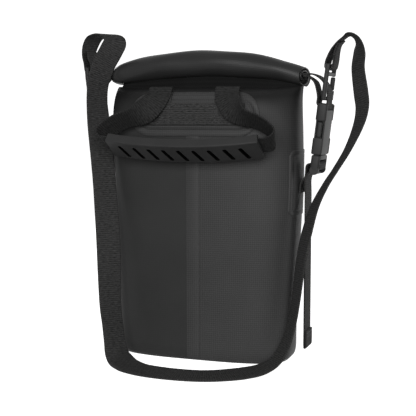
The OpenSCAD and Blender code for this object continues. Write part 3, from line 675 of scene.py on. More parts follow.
class Skin:
    """The surface of the filled bag, pushed out by any distance."""

    # Where the roll's ends begin beside the handle's patch, and the length of the change
    end_start = 0.066
    end_length = 0.03
    # How late on the shoulder the neck's set, its droop and its gathers come in
    shift_power = 6
    drop_power = 1.5
    gather_power = 2.2
    # The gathers: their pitch, how they wander, their set on the back and their share on the front
    gather_pitch = 205
    wander = 1.4
    wander_pitch = 61
    wander_start = 0.7
    back_set = 1.9
    front_gather = 0.3
    normal_step = 0.0002

    def __init__(self):
        self.bag = settings().bag
        self.roll = settings().roll
        self.neck_height = self.roll.height - self.roll.radius - self.roll.collar_height

    def shoulder(self, h):
        start = self.bag.shoulder_height
        return np.maximum(0, (h - start) / (self.neck_height - start))

    def bottom(self, h):
        base, top = self.bag.base_thickness, self.bag.bottom_round
        return np.sqrt(1 - (1 - np.clip((h - base) / (top - base), 0, 1)) ** 2)

    def flank_share(self, h):
        low, high = self.bag.bottom_round, self.bag.shoulder_height
        return ease(np.clip((h - low) / (high - low), 0, 1))

    def half(self, h, base, low, body, neck, narrowing):
        """Half a measure at a height, from the measures of base, bottom, body and neck."""
        foot = lerp(base, low, self.bottom(h))
        middle = lerp(low, body, self.flank_share(h))
        top = lerp(body, neck, narrowing)
        upper = np.where(h < self.bag.shoulder_height, middle, top)
        return np.where(h < self.bag.bottom_round, foot, upper) / 2

    def half_width(self, h):
        bag = self.bag
        narrowing = ease(np.minimum(1, self.shoulder(h)))
        return self.half(h, bag.base_width, bag.low_width, bag.body_width, bag.neck_width, narrowing)

    def half_depth(self, h):
        bag = self.bag
        narrowing = self.shoulder(h) ** bag.shoulder_curve
        return self.half(h, bag.base_depth, bag.low_depth, bag.body_depth, bag.neck_depth, narrowing)

    def at_end(self, x):
        """0 behind the handle's patch, 1 at the ends of the roll."""
        return ease(np.clip((np.abs(x) - self.end_start) / self.end_length, 0, 1))

    def half_front(self, h, x=0.0):
        bag = self.bag
        share = np.clip((h - bag.front_height) / (self.neck_height - bag.front_height), 0, 1)
        curve = lerp(bag.front_curve, bag.end_curve, self.at_end(x))
        full = (1 - share ** curve) ** (1 / curve)
        high = lerp(bag.neck_depth, bag.body_depth, full) / 2
        return np.where(h < bag.shoulder_height, self.half_depth(h), high)

    def shift(self, h):
        return self.bag.neck_shift * self.shoulder(h) ** self.shift_power

    def roll_axis(self, x):
        return self.roll.height - self.roll.droop * (x / (self.roll.length / 2)) ** 2

    def roll_radius(self, x):
        return lerp(self.roll.radius, self.roll.end_radius, (x / (self.roll.length / 2)) ** 2)

    def level(self, x, h):
        """The height of the cloth at x, near the neck drawn along by the roll's droop."""
        drop = self.roll.height - self.roll.radius - self.roll_axis(x) + self.roll_radius(x)
        share = lerp(self.bag.neck_drop, self.bag.end_drop, self.at_end(x))
        return h - share * drop * self.shoulder(h) ** self.drop_power

    def folds(self, x, y, h):
        """Soft gathers where the cloth narrows to its neck, strongest on the back."""
        wander = self.wander * np.sin(x * self.wander_pitch + self.wander_start)
        gather = np.cos(x * self.gather_pitch + wander + np.where(y > 0, self.back_set, 0))
        strength = self.shoulder(h) ** self.gather_power * np.where(y > 0, 1, self.front_gather)
        return self.bag.fold_height * gather * strength

    def flank(self, v):
        power = self.bag.corner_power
        return np.maximum(0, 1 - np.abs(v) ** power) ** (1 / power)

    def around(self, h, angle, out=0.0):
        """Points round the bag at a height."""
        power = 2 / self.bag.corner_power
        c, s = np.cos(angle), np.sin(angle)
        c, s = np.sign(c) * np.abs(c) ** power, np.sign(s) * np.abs(s) ** power
        x = self.shift(h) + self.half_width(h) * c
        deep = np.where(s < 0, self.half_front(h, x), self.half_depth(h))
        grown = out + self.folds(x, deep * s, h)
        x = self.shift(h) + (self.half_width(h) + grown) * c
        sunk = np.minimum(out, 0) * self.shoulder(h) ** 3
        return np.stack([x, (deep + grown) * s, self.level(x, h) + sunk], axis=-1)

    def bare_front(self, x, h):
        y = -self.half_front(h, x) * self.flank((x - self.shift(h)) / self.half_width(h))
        return np.stack([x + 0 * y, y, self.level(x, h) + 0 * y], axis=-1)

    def front(self, x, h, out=0.0):
        """Points on the front, pushed out square to the cloth."""
        step = self.normal_step
        rise = unit(self.bare_front(x, h + step) - self.bare_front(x, h - step))
        outward = np.stack([0 * rise[..., 0], -rise[..., 2], rise[..., 1]], axis=-1)
        grown = np.asarray(out + self.folds(x, -1.0, h))
        return self.bare_front(x, h) + outward * grown[..., None]

    def side(self, y, h, out=0.0):
        """Points on the right side, pushed out to the right."""
        deep = np.where(y < 0, self.half_front(h), self.half_depth(h))
        x = (self.half_width(h) + out) * self.flank(y / (deep + out))
        return np.stack([x, y + 0 * x, h + 0 * x], axis=-1)


# Shared by the makers

def dress(made, body, slot, *nodes):
    """Hangs a piece on its body and hides the solids it stands for; the slot is not used."""
    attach(made, body)
    if nodes:
        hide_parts(*nodes)
    return made


def flat_rows(points, y):
    """Rows of webbing in the plane of X and Z, from points of x, z and width."""
    return np.array([(x, y, z, 0, 1, 0, w) for x, z, w in points])


def turned(x, z, radius, angles, wide):
    """Points of webbing that turns round a bar."""
    return [(x + radius * math.cos(angle), z + radius * math.sin(angle), wide) for angle in angles]


def cross_seams(x, heights, sign, wide):
    """Lines of stitches across a strap on one side of the bag."""
    ys = np.linspace(SEAM_MARGIN - wide / 2, wide / 2 - SEAM_MARGIN, 12)
    return [(np.stack([sign * x + 0 * ys, ys, z + 0 * ys], axis=-1), [(sign, 0, 0)] * len(ys))
            for z in heights]


def from_buckle(x, z):
    """A place in the leaning buckle's own plane, as x and z of the bag."""
    buckle = settings().buckle
    c, s = math.cos(buckle.lean), math.sin(buckle.lean)
    return buckle.place + x * c + z * s, buckle.height - x * s + z * c


def rounded_outline(half_a, half_b, radius):
    """A rounded rectangle from its right side anticlockwise, alike in its four quarters."""
    straight, arc = 8, 10
    rise = [(half_a, t) for t in np.linspace(0, half_b - radius, straight, endpoint=False)]
    bend = [(half_a - radius * (1 - math.cos(t)), half_b - radius * (1 - math.sin(t)))
            for t in np.linspace(0, math.pi / 2, arc, endpoint=False)]
    across = [(t, half_b) for t in np.linspace(half_a - radius, 0, straight, endpoint=False)]
    quarter = np.array(rise + bend + across)
    top = np.concatenate([quarter, [(0, half_b)], (quarter * (-1, 1))[:0:-1]])
    return np.concatenate([top, [(-half_a, 0)], (top * (1, -1))[:0:-1]])


def welded_patch(name, half_a, half_b, corner, steps, place, mirror=False):
    """A patch on the skin from rings that step inwards: distances from its edge and heights."""
    rings, lay = [], []
    for inset, out in [(steps[0][0], -SUNK), *steps]:
        outline = rounded_outline(half_a - inset, half_b - inset, max(corner - inset, LEAST_CORNER))
        rings.append(place(outline[:, 0], outline[:, 1], out))
        lay.append(outline)
    count = len(rings[0])
    half = count // 2
    faces, spots = [], []

    def add(face):
        face = face[::-1] if mirror else face
        faces.append(face)
        spots.extend(lay[v // count][v % count] for v in face)

    for i in range(len(rings) - 1):
        for j in range(count):
            k = (j + 1) % count
            add([i * count + j, i * count + k, (i + 1) * count + k, (i + 1) * count + j])
    for first, flip in ((0, True), ((len(rings) - 1) * count, False)):
        strip = [[0, 1, count - 1], [half - 1, half, half + 1]]
        strip += [[j, j + 1, count - j - 1, count - j] for j in range(1, half - 1)]
        for face in strip:
            add([first + v for v in (face[::-1] if flip else face)])
    points = np.concatenate(rings) * ((-1, 1, 1) if mirror else (1, 1, 1))
    film = fabric_material("patch_film", settings().finish.patch)
    return piece(name, points, faces, film, spots, sharp=60)


# Route of the shoulder strap in millimetres: places and the direction of its outer edge
STRAP_ROUTE = (
    (141.1, -1.1, 321.1, 0.1, -1, 0), (137.9, -0.5, 317.4, 0.05, -1, 0), (136, 0, 311.5, 0, -1, 0),
    (135.2, 0, 304, 0, -1, 0), (134, 0, 297.7, 0, -1, 0), (132.9, 0, 295.1, 0, -1, 0),
    (130.3, 0, 294, 0, -1, 0), (127.7, 0, 295.1, 0, -1, 0), (126.6, 0, 297.7, 0, -1, 0),
    (128, 0, 304, 0, -1, 0), (133, 0, 314, 0, -1, 0), (140, -1, 322.5, 0.1, -1, 0),
    (149, -2.5, 327, 0.2, -0.95, 0), (156.5, -4.5, 321, 0.4, -0.9, 0),
    (159, -6, 309, 0.6, -0.78, 0), (158.5, -7.5, 294, 0.64, -0.76, 0),
    (162, -10, 272, 0.68, -0.72, 0.1), (164, -12, 257, 0.65, -0.75, 0.1),
    (161, -14, 240, 0.58, -0.81, 0.05), (152, -18, 217, 0.45, -0.9, 0),
    (141, -22.5, 197, 0.43, -0.9, 0.05), (132.5, -28, 182, 0.42, -0.9, 0),
    (123, -33, 161, 0.53, -0.84, 0.08), (117, -38, 137, 0.6, -0.8, 0.1),
    (112.5, -42, 111, 0.58, -0.81, 0.1), (108.5, -47, 69, 0.54, -0.84, 0.11),
    (105.5, -49.5, 48, 0.54, -0.83, 0.12), (100.5, -53, 29, 0.6, -0.78, 0.12),
    (93, -59, 13, 0.6, -0.8, 0), (82, -69, 5.5, 0.5, -0.85, -0.12),
    (68, -83, 3.4, 0.32, -0.94, -0.16), (51, -97, 3.2, 0.27, -0.95, -0.16),
    (33, -106, 3.2, 0.28, -0.94, -0.16), (9, -109.5, 3.2, 0.22, -0.96, -0.16),
    (-16, -108, 3.2, 0.2, -0.96, -0.16), (-36, -103, 3.4, 0.05, -0.98, -0.17),
    (-53, -93, 4.5, -0.05, -0.96, -0.24), (-67, -79, 8, -0.3, -0.89, -0.32),
    (-75, -69, 19, -0.5, -0.86, -0.1), (-80, -64, 38, -0.52, -0.85, 0),
    (-84, -60, 60, -0.63, -0.77, 0.08), (-89.5, -52, 121, -0.8, -0.59, 0.03),
    (-96, -45, 172, -0.72, -0.7, 0), (-101, -40, 203, -0.71, -0.7, 0),
    (-109, -33, 245, -0.6, -0.8, 0), (-112, -27, 277, -0.55, -0.84, 0),
    (-108.5, -21, 299, -0.68, -0.73, 0), (-101.5, -16, 315.5, -0.75, -0.66, 0),
    (-98, -13, 325, -0.7, -0.71, 0), (-102.5, -9.5, 331.5, -0.55, -0.83, 0),
    (-114, -6, 334, -0.42, -0.9, 0), (-126, -3, 331, -0.32, -0.95, 0),
    (-132.6, -1, 322, -0.24, -0.97, 0), (-135.2, -0.2, 312, -0.1, -1, 0),
    (-134.8, 0, 304, 0, -1, 0), (-134, 0, 297.7, 0, -1, 0), (-132.9, 0, 295.1, 0, -1, 0),
    (-130.3, 0, 294, 0, -1, 0), (-127.7, 0, 295.1, 0, -1, 0), (-126.6, 0, 297.7, 0, -1, 0),
    (-127.4, 0, 303.5, 0, -1, 0), (-130.2, 0, 310, 0, -1, 0), (-130, -0.2, 316.2, 0, -1, 0))
MILLIMETRE = 0.001


class DRYBAG_OT_stage(bpy.types.Operator):
    """Sets the camera, the soft lights, the pale floor and the white surroundings"""
    bl_idname = "drybag.stage"
    bl_label = "Stage"

    camera_place = Vector((0.3516, -0.9791, 0.2546))
    camera_aim = Vector((0.001, 0.0, 0.1526))
    focal_pixels = 1000
    sensor = 36
    lamp_aim = (0, 0, 0.16)
    # Each lamp's place and its width and height
    lamps = {"front": ((0.3, -1.32, 0.56), (1.1, 0.8)),
             "right": ((1.05, 0.7, 0.35), (0.35, 0.9)),
             "left": ((-1.05, 0.8, 0.35), (0.35, 0.9))}
    # The white sheet: its front edge, back, bend, height, half width and the gap under the bag
    sheet_front = -0.4
    sheet_depth = 1.9
    sheet_bend = 0.6
    sheet_height = 2.4
    sheet_reach = 3.0
    sheet_gap = 0.0004

    def aim(self, thing, target):
        thing.rotation_euler = (Vector(target) - thing.location).to_track_quat("-Z", "Y").to_euler()

    def lamp(self, name, power):
        place, width = self.lamps[name]
        data = bpy.data.lights.new(name, "AREA")
        data.energy = power
        data.shape = "RECTANGLE"
        data.size, data.size_y = width
        made = bpy.data.objects.new(name, data)
        made.location = place
        self.aim(made, self.lamp_aim)
        bpy.context.scene.collection.objects.link(made)

    def seen_as(self, tree, lit, shown):
        """One shader for rays that only carry light, another for rays that show the surroundings."""
        camera = tree.node("ShaderNodeLightPath")
        ends = camera.socket.node.outputs
        mirrored = Value(tree, ends["Is Glossy Ray"])
        through = Value(tree, ends["Is Transmission Ray"])
        direct = (camera + mirrored + through).clamped()
        return tree.node("ShaderNodeMixShader", {}, {0: direct, 1: lit, 2: shown})

    def execute(self, context):
        look = settings().stage
        scene = context.scene
        scene.view_settings.view_transform = "Standard"
        data = bpy.data.cameras.new("camera")
        data.sensor_width = self.sensor
        data.lens = self.sensor * self.focal_pixels / look.picture
        camera = bpy.data.objects.new("camera", data)
        camera.location = self.camera_place
        self.aim(camera, self.camera_aim)
        scene.collection.objects.link(camera)
        scene.camera = camera
        self.lamp("front", look.front_power)
        self.lamp("right", look.right_power)
        self.lamp("left", look.left_power)
        world = bpy.data.worlds.new("surroundings")
        scene.world = world
        tree = Tree(world)
        dim = tree.node("ShaderNodeBackground", {}, {0: (1, 1, 1, 1), 1: look.sky})
        white = tree.node("ShaderNodeBackground", {}, {0: (1, 1, 1, 1), 1: 1.0})
        tree.node("ShaderNodeOutputWorld", {}, {0: self.seen_as(tree, dim, white)})
        self.sweep(look)
        return {"FINISHED"}

    def sweep(self, look):
        """The white sheet that the bag stands on, which curves up behind it."""
        back, bend, reach = self.sheet_depth, self.sheet_bend, self.sheet_reach
        flat = [(self.sheet_front, 0), (-self.sheet_front, 0), (back - bend, 0)]
        curve = [(back - bend * (1 - math.sin(t)), bend * (1 - math.cos(t)))
                 for t in np.linspace(0, math.pi / 2, 13)[1:]]
        profile = flat + curve + [(back, self.sheet_height)]
        corners = [(x, y, z) for y, z in profile for x in (-reach, reach)]
        faces = [(2 * i, 2 * i + 1, 2 * i + 3, 2 * i + 2) for i in range(len(profile) - 1)]
        material, tree = new_material("floor")
        matte = {"roughness": 0.9, "specular_ior_level": 0.0}
        plain = tree.shader(**matte, base_color=tinted(look.floor_bounce))
        bright = tree.shader(**matte, base_color=tinted(look.floor_shade),
                             emission_color=(1, 1, 1, 1), emission_strength=look.floor_glow)
        tree.node("ShaderNodeOutputMaterial", {}, {0: self.seen_as(tree, plain, bright)})
        floor = piece("floor", corners, faces, material)
        floor.location.z = -self.sheet_gap


class DRYBAG_OT_shoulder_strap(bpy.types.Operator):
    """Lays the shoulder strap from the right hook round the front to the left hook"""
    bl_idname = "drybag.shoulder_strap"
    bl_label = "Shoulder strap"

    def execute(self, context):
        web = settings().web
        route = np.array(STRAP_ROUTE) * ([MILLIMETRE] * 3 + [1] * 3)
        rows = with_width(smooth(route, 8), web.width)
        strap = webbing("shoulder_strap_webbing", rows)
        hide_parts("shoulder_strap")
        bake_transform(strap)
        return {"FINISHED"}


class DRYBAG_OT_shell(bpy.types.Operator):
    """Builds the filled bag: its wall, its rounded bottom and the base"""
    bl_idname = "drybag.shell"
    bl_label = "Bag shell"

    columns = 220
    bottom_rows, flank_rows, shoulder_rows = 14, 30, 44
    # Rings of the base as shares of its edge, and the rounded ring just inside the edge
    base_shares = (0.0004, 0.3, 0.6, 0.85, 0.95)
    base_edge = (0.988, 0.98, 0)
    base_edge_rise = 0.15
    base_gap = 0.0004
    girth_height = 0.15
    # Where the cloth darkens with painted shade for the shadow under the roll, as lengths below the
    # neck's rim
    shade_length = 0.078
    shade_end = 0.034
    panel_edge = 0.45

    def shaded_smooth_panel(self, mesh, bag, shade_span):
        """Gives the front left of the seam its smoother cloth, in a darker colour that is painted
        shade for the duller sheen of that panel.
        """
        cloth = fabric_material("shaded_smooth_cloth", settings().finish.smooth, 0.2, shade_span=shade_span)
        mesh.materials.append(cloth)
        for face in mesh.polygons:
            x, y, _ = face.center
            if y < 0 and x < -self.panel_edge * bag.seam_width:
                face.material_index = 1

    def angles(self, skin):
        """Angles that share the girth evenly, from the middle of the back."""
        fine = np.linspace(0.5 * math.pi, 2.5 * math.pi, 6000)
        girth = run_length(skin.around(np.full_like(fine, self.girth_height), fine))
        return np.interp(np.linspace(0, girth[-1], self.columns + 1), girth, fine)

    def execute(self, context):
        skin, bag = Skin(), settings().bag
        angles = self.angles(skin)
        bend = 1 - np.cos(np.linspace(0, math.pi / 2, self.bottom_rows))
        rise = np.sin(np.linspace(0, math.pi / 2, self.shoulder_rows))
        heights = np.concatenate([
            lerp(bag.base_thickness, bag.bottom_round, bend),
            np.linspace(bag.bottom_round, bag.shoulder_height, self.flank_rows)[1:],
            lerp(bag.shoulder_height, skin.neck_height, rise)[1:]])
        rim = bag.base_thickness
        layers = []
        for out, floor in ((0.0, 0.0), (-bag.wall, rim + self.base_gap)):
            edge = skin.around(np.full_like(angles, rim), angles, out)
            rows = [edge * (k, k, 0) + (0, 0, floor) for k in self.base_shares]
            rows.append(edge * self.base_edge + (0, 0, lerp(floor, rim, self.base_edge_rise)))
            rows += [skin.around(np.full_like(angles, h), angles, out) for h in heights]
            layers.append(np.stack(rows))
        outer, inner = layers
        round_run = run_length(skin.around(np.full_like(angles, self.girth_height), angles))
        up_run = run_length(outer[:, self.columns // 2])
        lay = [[(u, v) for u in round_run] for v in up_run]
        shade_span = (up_run[-1] - self.shade_length, up_run[-1] - self.shade_end)
        cloth = fabric_material("shell_cloth", shade_span=shade_span)
        shell = slab("bag_shell", outer[:, :-1], inner[:, :-1], lay, cloth, 50, round_trip=True)
        self.shaded_smooth_panel(shell.data, bag, shade_span)
        dress(shell, "root", "coated_fabric", "bag_body", "base_panel")
        return {"FINISHED"}


class DRYBAG_OT_seam(bpy.types.Operator):
    """Welds the overlap of the fabric down the middle of the front"""
    bl_idname = "drybag.seam"
    bl_label = "Front seam"

    section = ((-1, 0.1), (-0.97, 0.85), (-0.9, 1), (0, 1), (0.9, 0.8), (0.97, 0.45), (1, 0.0))
    height = 0.0008
    lift = 0.0001
    overlap = 0.001

    def execute(self, context):
        skin, bag, handle = Skin(), settings().bag, settings().handle
        top = handle.patch_middle - handle.patch_height / 2 + self.overlap
        bend = 1 - np.cos(np.linspace(0, math.pi / 2, 16))
        heights = np.concatenate([lerp(bag.base_thickness, bag.bottom_round, bend),
                                  np.linspace(bag.bottom_round, top, 40)[1:]])
        xs = [s * bag.seam_width / 2 for s, _ in self.section]
        outs = [self.lift + t * self.height for _, t in self.section]
        over = np.stack([[skin.front(x, h, out) for x, out in zip(xs, outs)] for h in heights])
        under = np.stack([[skin.front(x, h, -SUNK) for x in xs] for h in heights])
        lay = [[(x, h) for x in xs] for h in heights]
        seam = slab("front_seam", over, under, lay, fabric_material(), sharp=50)
        dress(seam, "root", "welded_patch", "seam_strip")
        return {"FINISHED"}


class DRYBAG_OT_collar(bpy.types.Operator):
    """Builds the collar that pays out of the neck when the roll is lifted"""
    bl_idname = "drybag.collar"
    bl_label = "Collar"

    tucked = 0.018
    columns = 160
    girth_row = 8
    # How the collar narrows on its way into the roll: its width, its depth and its set to the right
    flare = 0.99
    squeeze = 0.35
    pull = 0.005
    inside_roll = 0.55
    # Its two faces, measured inwards from the bag's wall
    faces = (0.0004, 0.0012)

    def execute(self, context):
        skin, bag, roll = Skin(), settings().bag, settings().roll
        angles = np.linspace(0, 2 * math.pi, self.columns + 1)
        layers = []
        for depth in self.faces:
            out = -bag.wall - depth
            heights = skin.neck_height - self.tucked * np.linspace(1, 0, 12)
            rows = [skin.around(np.full_like(angles, h), angles, out) for h in heights]
            rim = rows[-1]
            for t in np.linspace(0, 1, 7)[1:]:
                x = rim[:, 0] * lerp(1, self.flare, t) + self.pull * t
                y, z = rim[:, 1] * lerp(1, self.squeeze, t), rim[:, 2]
                inside = skin.roll_axis(x) - skin.roll_radius(x) * self.inside_roll
                rows.append(np.stack([x, y, lerp(z, inside, t)], axis=-1))
            layers.append(np.stack(rows))
        outer, inner = layers
        girth = run_length(outer[self.girth_row])
        rise = run_length(outer[:, 0])
        lay = [[(u, v) for u in girth] for v in rise]
        # The collar's darker colour is painted shade for the shadow under the roll
        cloth = fabric_material("collar_cloth", settings().finish.collar, 0.8, 0.01)
        collar = slab("collar_fabric", outer[:, :-1], inner[:, :-1], lay, cloth, 60, round_trip=True)
        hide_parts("collar")
        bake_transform(collar)
        return {"FINISHED"}


class DRYBAG_OT_roll(bpy.types.Operator):
    """Rolls up the mouth of the bag"""
    bl_idname = "drybag.roll"
    bl_label = "Rolled mouth"

    stations = 110
    spiral_points = 150
    # The angle at which the cloth enters the roll, and how fast its turns tighten
    start = math.radians(250)
    tightening = 1.9
    # Lengths at the ends that are cut askew and that stay free of creases
    cut_length = 0.03
    calm_length = 0.025
    # How loosely the cloth is wound, how far that lets it sag, and the deepest crease
    slack = 1.2
    sag = 0.0018
    deepest = 1.2

    def section(self, skin, roll, x, angle, wound, depth):
        """The wound cloth at one place, pinched on the left and cut askew on the right."""
        half = roll.length / 2
        calm = min(1, (half - abs(x)) / self.calm_length)
        broad = np.sin(angle * 2 + x * 55) * np.sin(x * 47 + 1)
        crease = broad + 0.6 * np.sin(angle * 3 - x * 90 + 2)
        reach = abs(x) / half
        full = lerp(roll.radius, roll.end_radius, reach ** (2 if x > 0 else 4))
        near = min(1, (x + half) / roll.pinch_length)
        pinched = full * lerp(roll.pinch, 1, math.sqrt(1 - (1 - near) ** 2))
        radius = pinched * self.slack * lerp(1, roll.core, wound ** self.tightening) - depth
        radius = radius + (crease - self.deepest) * roll.crease_height * (1 - 0.7 * wound) * calm
        axis = skin.roll_axis(x) - self.sag + (roll.left_lift * reach ** 2 if x < 0 else 0)
        y = -radius * np.cos(angle)
        askew = max(0, 1 - (half - x) / self.cut_length) * roll.oblique
        return np.stack([x - askew * (1 - y / full) / 2, y, axis + radius * np.sin(angle)], axis=-1)

    def execute(self, context):
        skin, roll = Skin(), settings().roll
        xs = roll.length / 2 * np.sin(np.linspace(-math.pi / 2, math.pi / 2, self.stations))
        wound = np.linspace(0, 1, self.spiral_points)
        angle = self.start - 2 * math.pi * roll.turns * wound
        layers = [np.stack([self.section(skin, roll, x, angle, wound, depth) for x in xs])
                  for depth in (0.0, roll.thickness)]
        wrap = run_length(layers[0][self.stations // 2])
        lay = [[(u, x) for u in wrap] for x in xs]
        cloth = fabric_material("rolled_cloth", settings().finish.rolled, 0.5, 0.12, rough=0.3)
        made = slab("rolled_mouth", layers[0], layers[1], lay, cloth, sharp=60)
        dress(made, "roll", "coated_fabric", "roll_top")
        return {"FINISHED"}


class DRYBAG_OT_handle_patch(bpy.types.Operator):
    """Welds the handle's patch to the front and sews the webbing band on it"""
    bl_idname = "drybag.handle_patch"
    bl_label = "Handle patch"

    # The welded groove's depth and the rise of the field inside it
    groove = 0.0006
    raised = 0.0002
    # Where the stitches run: in from the band's edge, and from the middle to the crosses
    stitch_inset = 0.0028
    cross_start = 0.024
    # How far the risers start under the band's edge and end below the folds
    riser_overlap = 0.002
    riser_end = 0.005

    def execute(self, context):
        skin, handle, web = Skin(), settings().handle, settings().web
        thick = handle.patch_thickness
        sunk, field = thick - self.groove, thick + self.raised
        steps = ((0.0, 0.0001), (0.0001, 0.0006), (0.0005, thick), (0.0055, thick), (0.0060, sunk),
                 (0.0071, sunk), (0.0076, field), (0.010, field), (0.016, field), (0.0214, field))

        def place(x, h, out):
            return skin.front(x, h + handle.patch_middle, out)

        patch = welded_patch("handle_base_patch", handle.patch_width / 2, handle.patch_height / 2,
                             handle.patch_height / 2 - self.raised, steps, place)
        dress(patch, "root", "welded_patch", "handle_patch")
        self.band(skin, handle, web, field)
        self.risers(skin, handle, web, field)
        self.sew(skin, handle, field + web.thickness)
        return {"FINISHED"}

    def band(self, skin, handle, web, seat):
        xs = np.linspace(-handle.band_width / 2, handle.band_width / 2, 50)
        hs = [handle.patch_middle + s * handle.band_height / 2 for s, _ in WEB_SECTION]
        outs = [seat + web.thickness * t for _, t in WEB_SECTION]
        over = np.stack([[skin.front(x, h, out) for x in xs] for h, out in zip(hs, outs)])
        under = np.stack([[skin.front(x, h, seat - self.raised) for x in xs] for h in hs])
        lay = [[(x, h) for x in xs] for h in hs]
        band = slab("handle_band", over, under, lay, webbing_material(), sharp=50)
        dress(band, "root", "webbing", "handle_anchor")

    def risers(self, skin, handle, web, seat):
        """The flat lengths of webbing from the band up to the folds."""
        low = handle.patch_middle + handle.band_height / 2 - self.riser_overlap
        heights = np.linspace(low, handle.fold_height - self.riser_end, 12)
        for side, sign in SIDES:
            x = sign * handle.strap_place
            places = [skin.front(x, h, seat + web.thickness * 0.9) for h in heights]
            rows = with_width([(*p, 1, 0, 0) for p in places], web.width)
            riser = webbing(f"{side}_riser_webbing", rows)
            dress(riser, "root", "webbing", f"{side}_handle_riser")

    def sew(self, skin, handle, out):
        """A seam round the band, and a line and a cross at each end of it."""
        a, b = (half - self.stitch_inset for half in (handle.band_width / 2, handle.band_height / 2))
        corners = [(-a, -b), (a, -b), (a, b), (-a, b), (-a, -b)]
        seams = list(zip(corners, corners[1:]))
        for sign in (-1, 1):
            inner, outer = sign * self.cross_start, sign * a
            seams += [((inner, -b), (inner, b)), ((inner, -b), (outer, b)),
                      ((inner, b), (outer, -b))]
        middle = handle.patch_middle
        lines = [self.seam_line(skin, (x0, middle + z0), (x1, middle + z1), out)
                 for (x0, z0), (x1, z1) in seams]
        dress(stitching("handle_stitching", lines), "root", "webbing")

    def seam_line(self, skin, start, end, out):
        xs, hs = (np.linspace(p, q, 30) for p, q in zip(start, end))
        points = skin.front(xs, hs, out)
        return points, skin.front(xs, hs, out + 0.002) - points


class DRYBAG_OT_handle(bpy.types.Operator):
    """Runs the handle's webbing from its folds through the grip, near black where it lies inside it
    as painted shade for the shadow seen through the slots
    """
    bl_idname = "drybag.handle"
    bl_label = "Handle"

    def route(self, handle):
        """One half of the loop, listed from behind the fold to the end of the grip."""
        x, y, z = handle.strap_place, -handle.fold_reach, handle.fold_height
        r = handle.fold_radius
        half, reach, low = handle.grip_length / 2, -handle.grip_reach, handle.grip_height
        up = (0, -math.sin(handle.grip_lean), math.cos(handle.grip_lean))
        return [
            (x, y + 0.3 * r, z - 0.95 * r, 1, 0, 0), (x, y + r, z, 1, 0, 0),
            (x, y + 0.4 * r, z + 0.95 * r, 1, 0, 0), (x, y - 0.9 * r, z + 0.75 * r, 1, 0, 0),
            (x + 0.0003, y - 0.0044, z - 0.0034, 1, 0, 0.03),
            (x + 0.0023, y - 0.009, z - 0.0095, 0.97, -0.1, 0.15),
            (x + 0.0095, y - 0.0149, z - 0.0194, 0.9, -0.3, 0.28),
            (x + 0.0205, y - 0.0185, z - 0.0268, 0.64, -0.64, 0.42),
            (half - 0.0075, reach + 0.0075, low + 0.0222, 0.5, -0.75, 0.43),
            (half + 0.0035, reach + 0.0062, low + 0.0165, 0.4, -0.8, 0.45),
            (half + 0.0115, reach + 0.0042, low + 0.0095, 0.25, -0.83, 0.5),
            (half + 0.0105, reach + 0.0012, low + 0.0026, 0.05, -0.83, 0.55),
            (half + 0.005, reach, low + 0.0002, *up),
            (half, reach, low, *up)]

    def execute(self, context):
        handle, web = settings().handle, settings().web
        half = smooth(self.route(handle), 10)
        reach = handle.grip_length / 2
        radius = (reach ** 2 + handle.grip_bow ** 2) / (2 * handle.grip_bow)
        swing = math.asin(reach / radius)
        c, s = math.cos(handle.grip_lean), math.sin(handle.grip_lean)
        middle = []
        for angle in np.linspace(swing, -swing, 40)[1:-1]:
            bow = radius * (math.cos(angle) - 1) + handle.grip_bow
            middle.append((radius * math.sin(angle), -handle.grip_reach - c * bow,
                           handle.grip_height - s * bow, 0, -s, c))
        other = half[::-1] * (-1, 1, 1, -1, 1, 1)
        rows = with_width(np.concatenate([half, middle, other]), web.width)
        cloth = webbing_material("handle_webbing_weave", settings().finish.handle)
        loop = webbing("handle_loop", rows, cloth)
        # Painted shade: the webbing inside the grip is made near black for the shadow seen through
        # its slots
        loop.data.materials.append(shade_black_material())
        for face in loop.data.polygons:
            x, _, z = face.center
            if z < handle.grip_height + web.width / 2 and abs(x) < reach - GRIP_END:
                face.material_index = 1
        dress(loop, "handle", "webbing", "handle_webbing")
        return {"FINISHED"}


class DRYBAG_OT_end_tabs(bpy.types.Operator):
    """Loops the end tabs from the roll round the buckles' bars"""
    bl_idname = "drybag.end_tabs"
    bl_label = "End tabs"

    side_set = 0.0024
    turn_angles = np.radians(np.arange(0, -181, -45))

    def execute(self, context):
        skin, roll, web, buckle = Skin(), settings().roll, settings().web, settings().buckle
        tip_x, tip_z = roll.length / 2 + 0.0012, skin.roll_axis(roll.length / 2)
        bar_x, bar_z = from_buckle(0, buckle.bar_height)
        wide, neck = web.tab_width, web.tab_neck
        ply = web.thickness / 2 + 0.0002
        wrap = buckle.bar_radius + web.thickness / 2 + 0.0003
        points = [(tip_x - 0.004, tip_z + ply, neck), (tip_x, tip_z + ply, neck),
                  (tip_x + 0.0045, tip_z + ply, lerp(neck, wide, 0.4)),
                  (tip_x + 0.0115, tip_z - 0.0016, wide),
                  (bar_x + 0.0002, bar_z + 0.0242, wide), (bar_x + 0.0036, bar_z + 0.017, wide),
                  (bar_x + 0.004, bar_z + 0.009, wide), (bar_x + 0.0039, bar_z + 0.003, wide)]
        points += turned(bar_x, bar_z, wrap, self.turn_angles, wide)
        points += [(bar_x - 0.0062, bar_z + 0.0036, wide), (bar_x - 0.0057, bar_z + 0.0094, wide),
                   (bar_x - 0.0066, bar_z + 0.016, wide), (tip_x + 0.0086, tip_z - 0.0076, wide),
                   (tip_x + 0.004, tip_z - 0.0032, lerp(neck, wide, 0.5)),
                   (tip_x, tip_z - ply, neck), (tip_x - 0.004, tip_z - ply, neck)]
        rows = smooth(flat_rows(points, -self.side_set), 6)
        for side, sign in SIDES:
            tab = webbing(f"{side}_tab_loop", on_side(rows, sign))
            dress(tab, "roll", "webbing", f"{side}_end_tab")
        return {"FINISHED"}


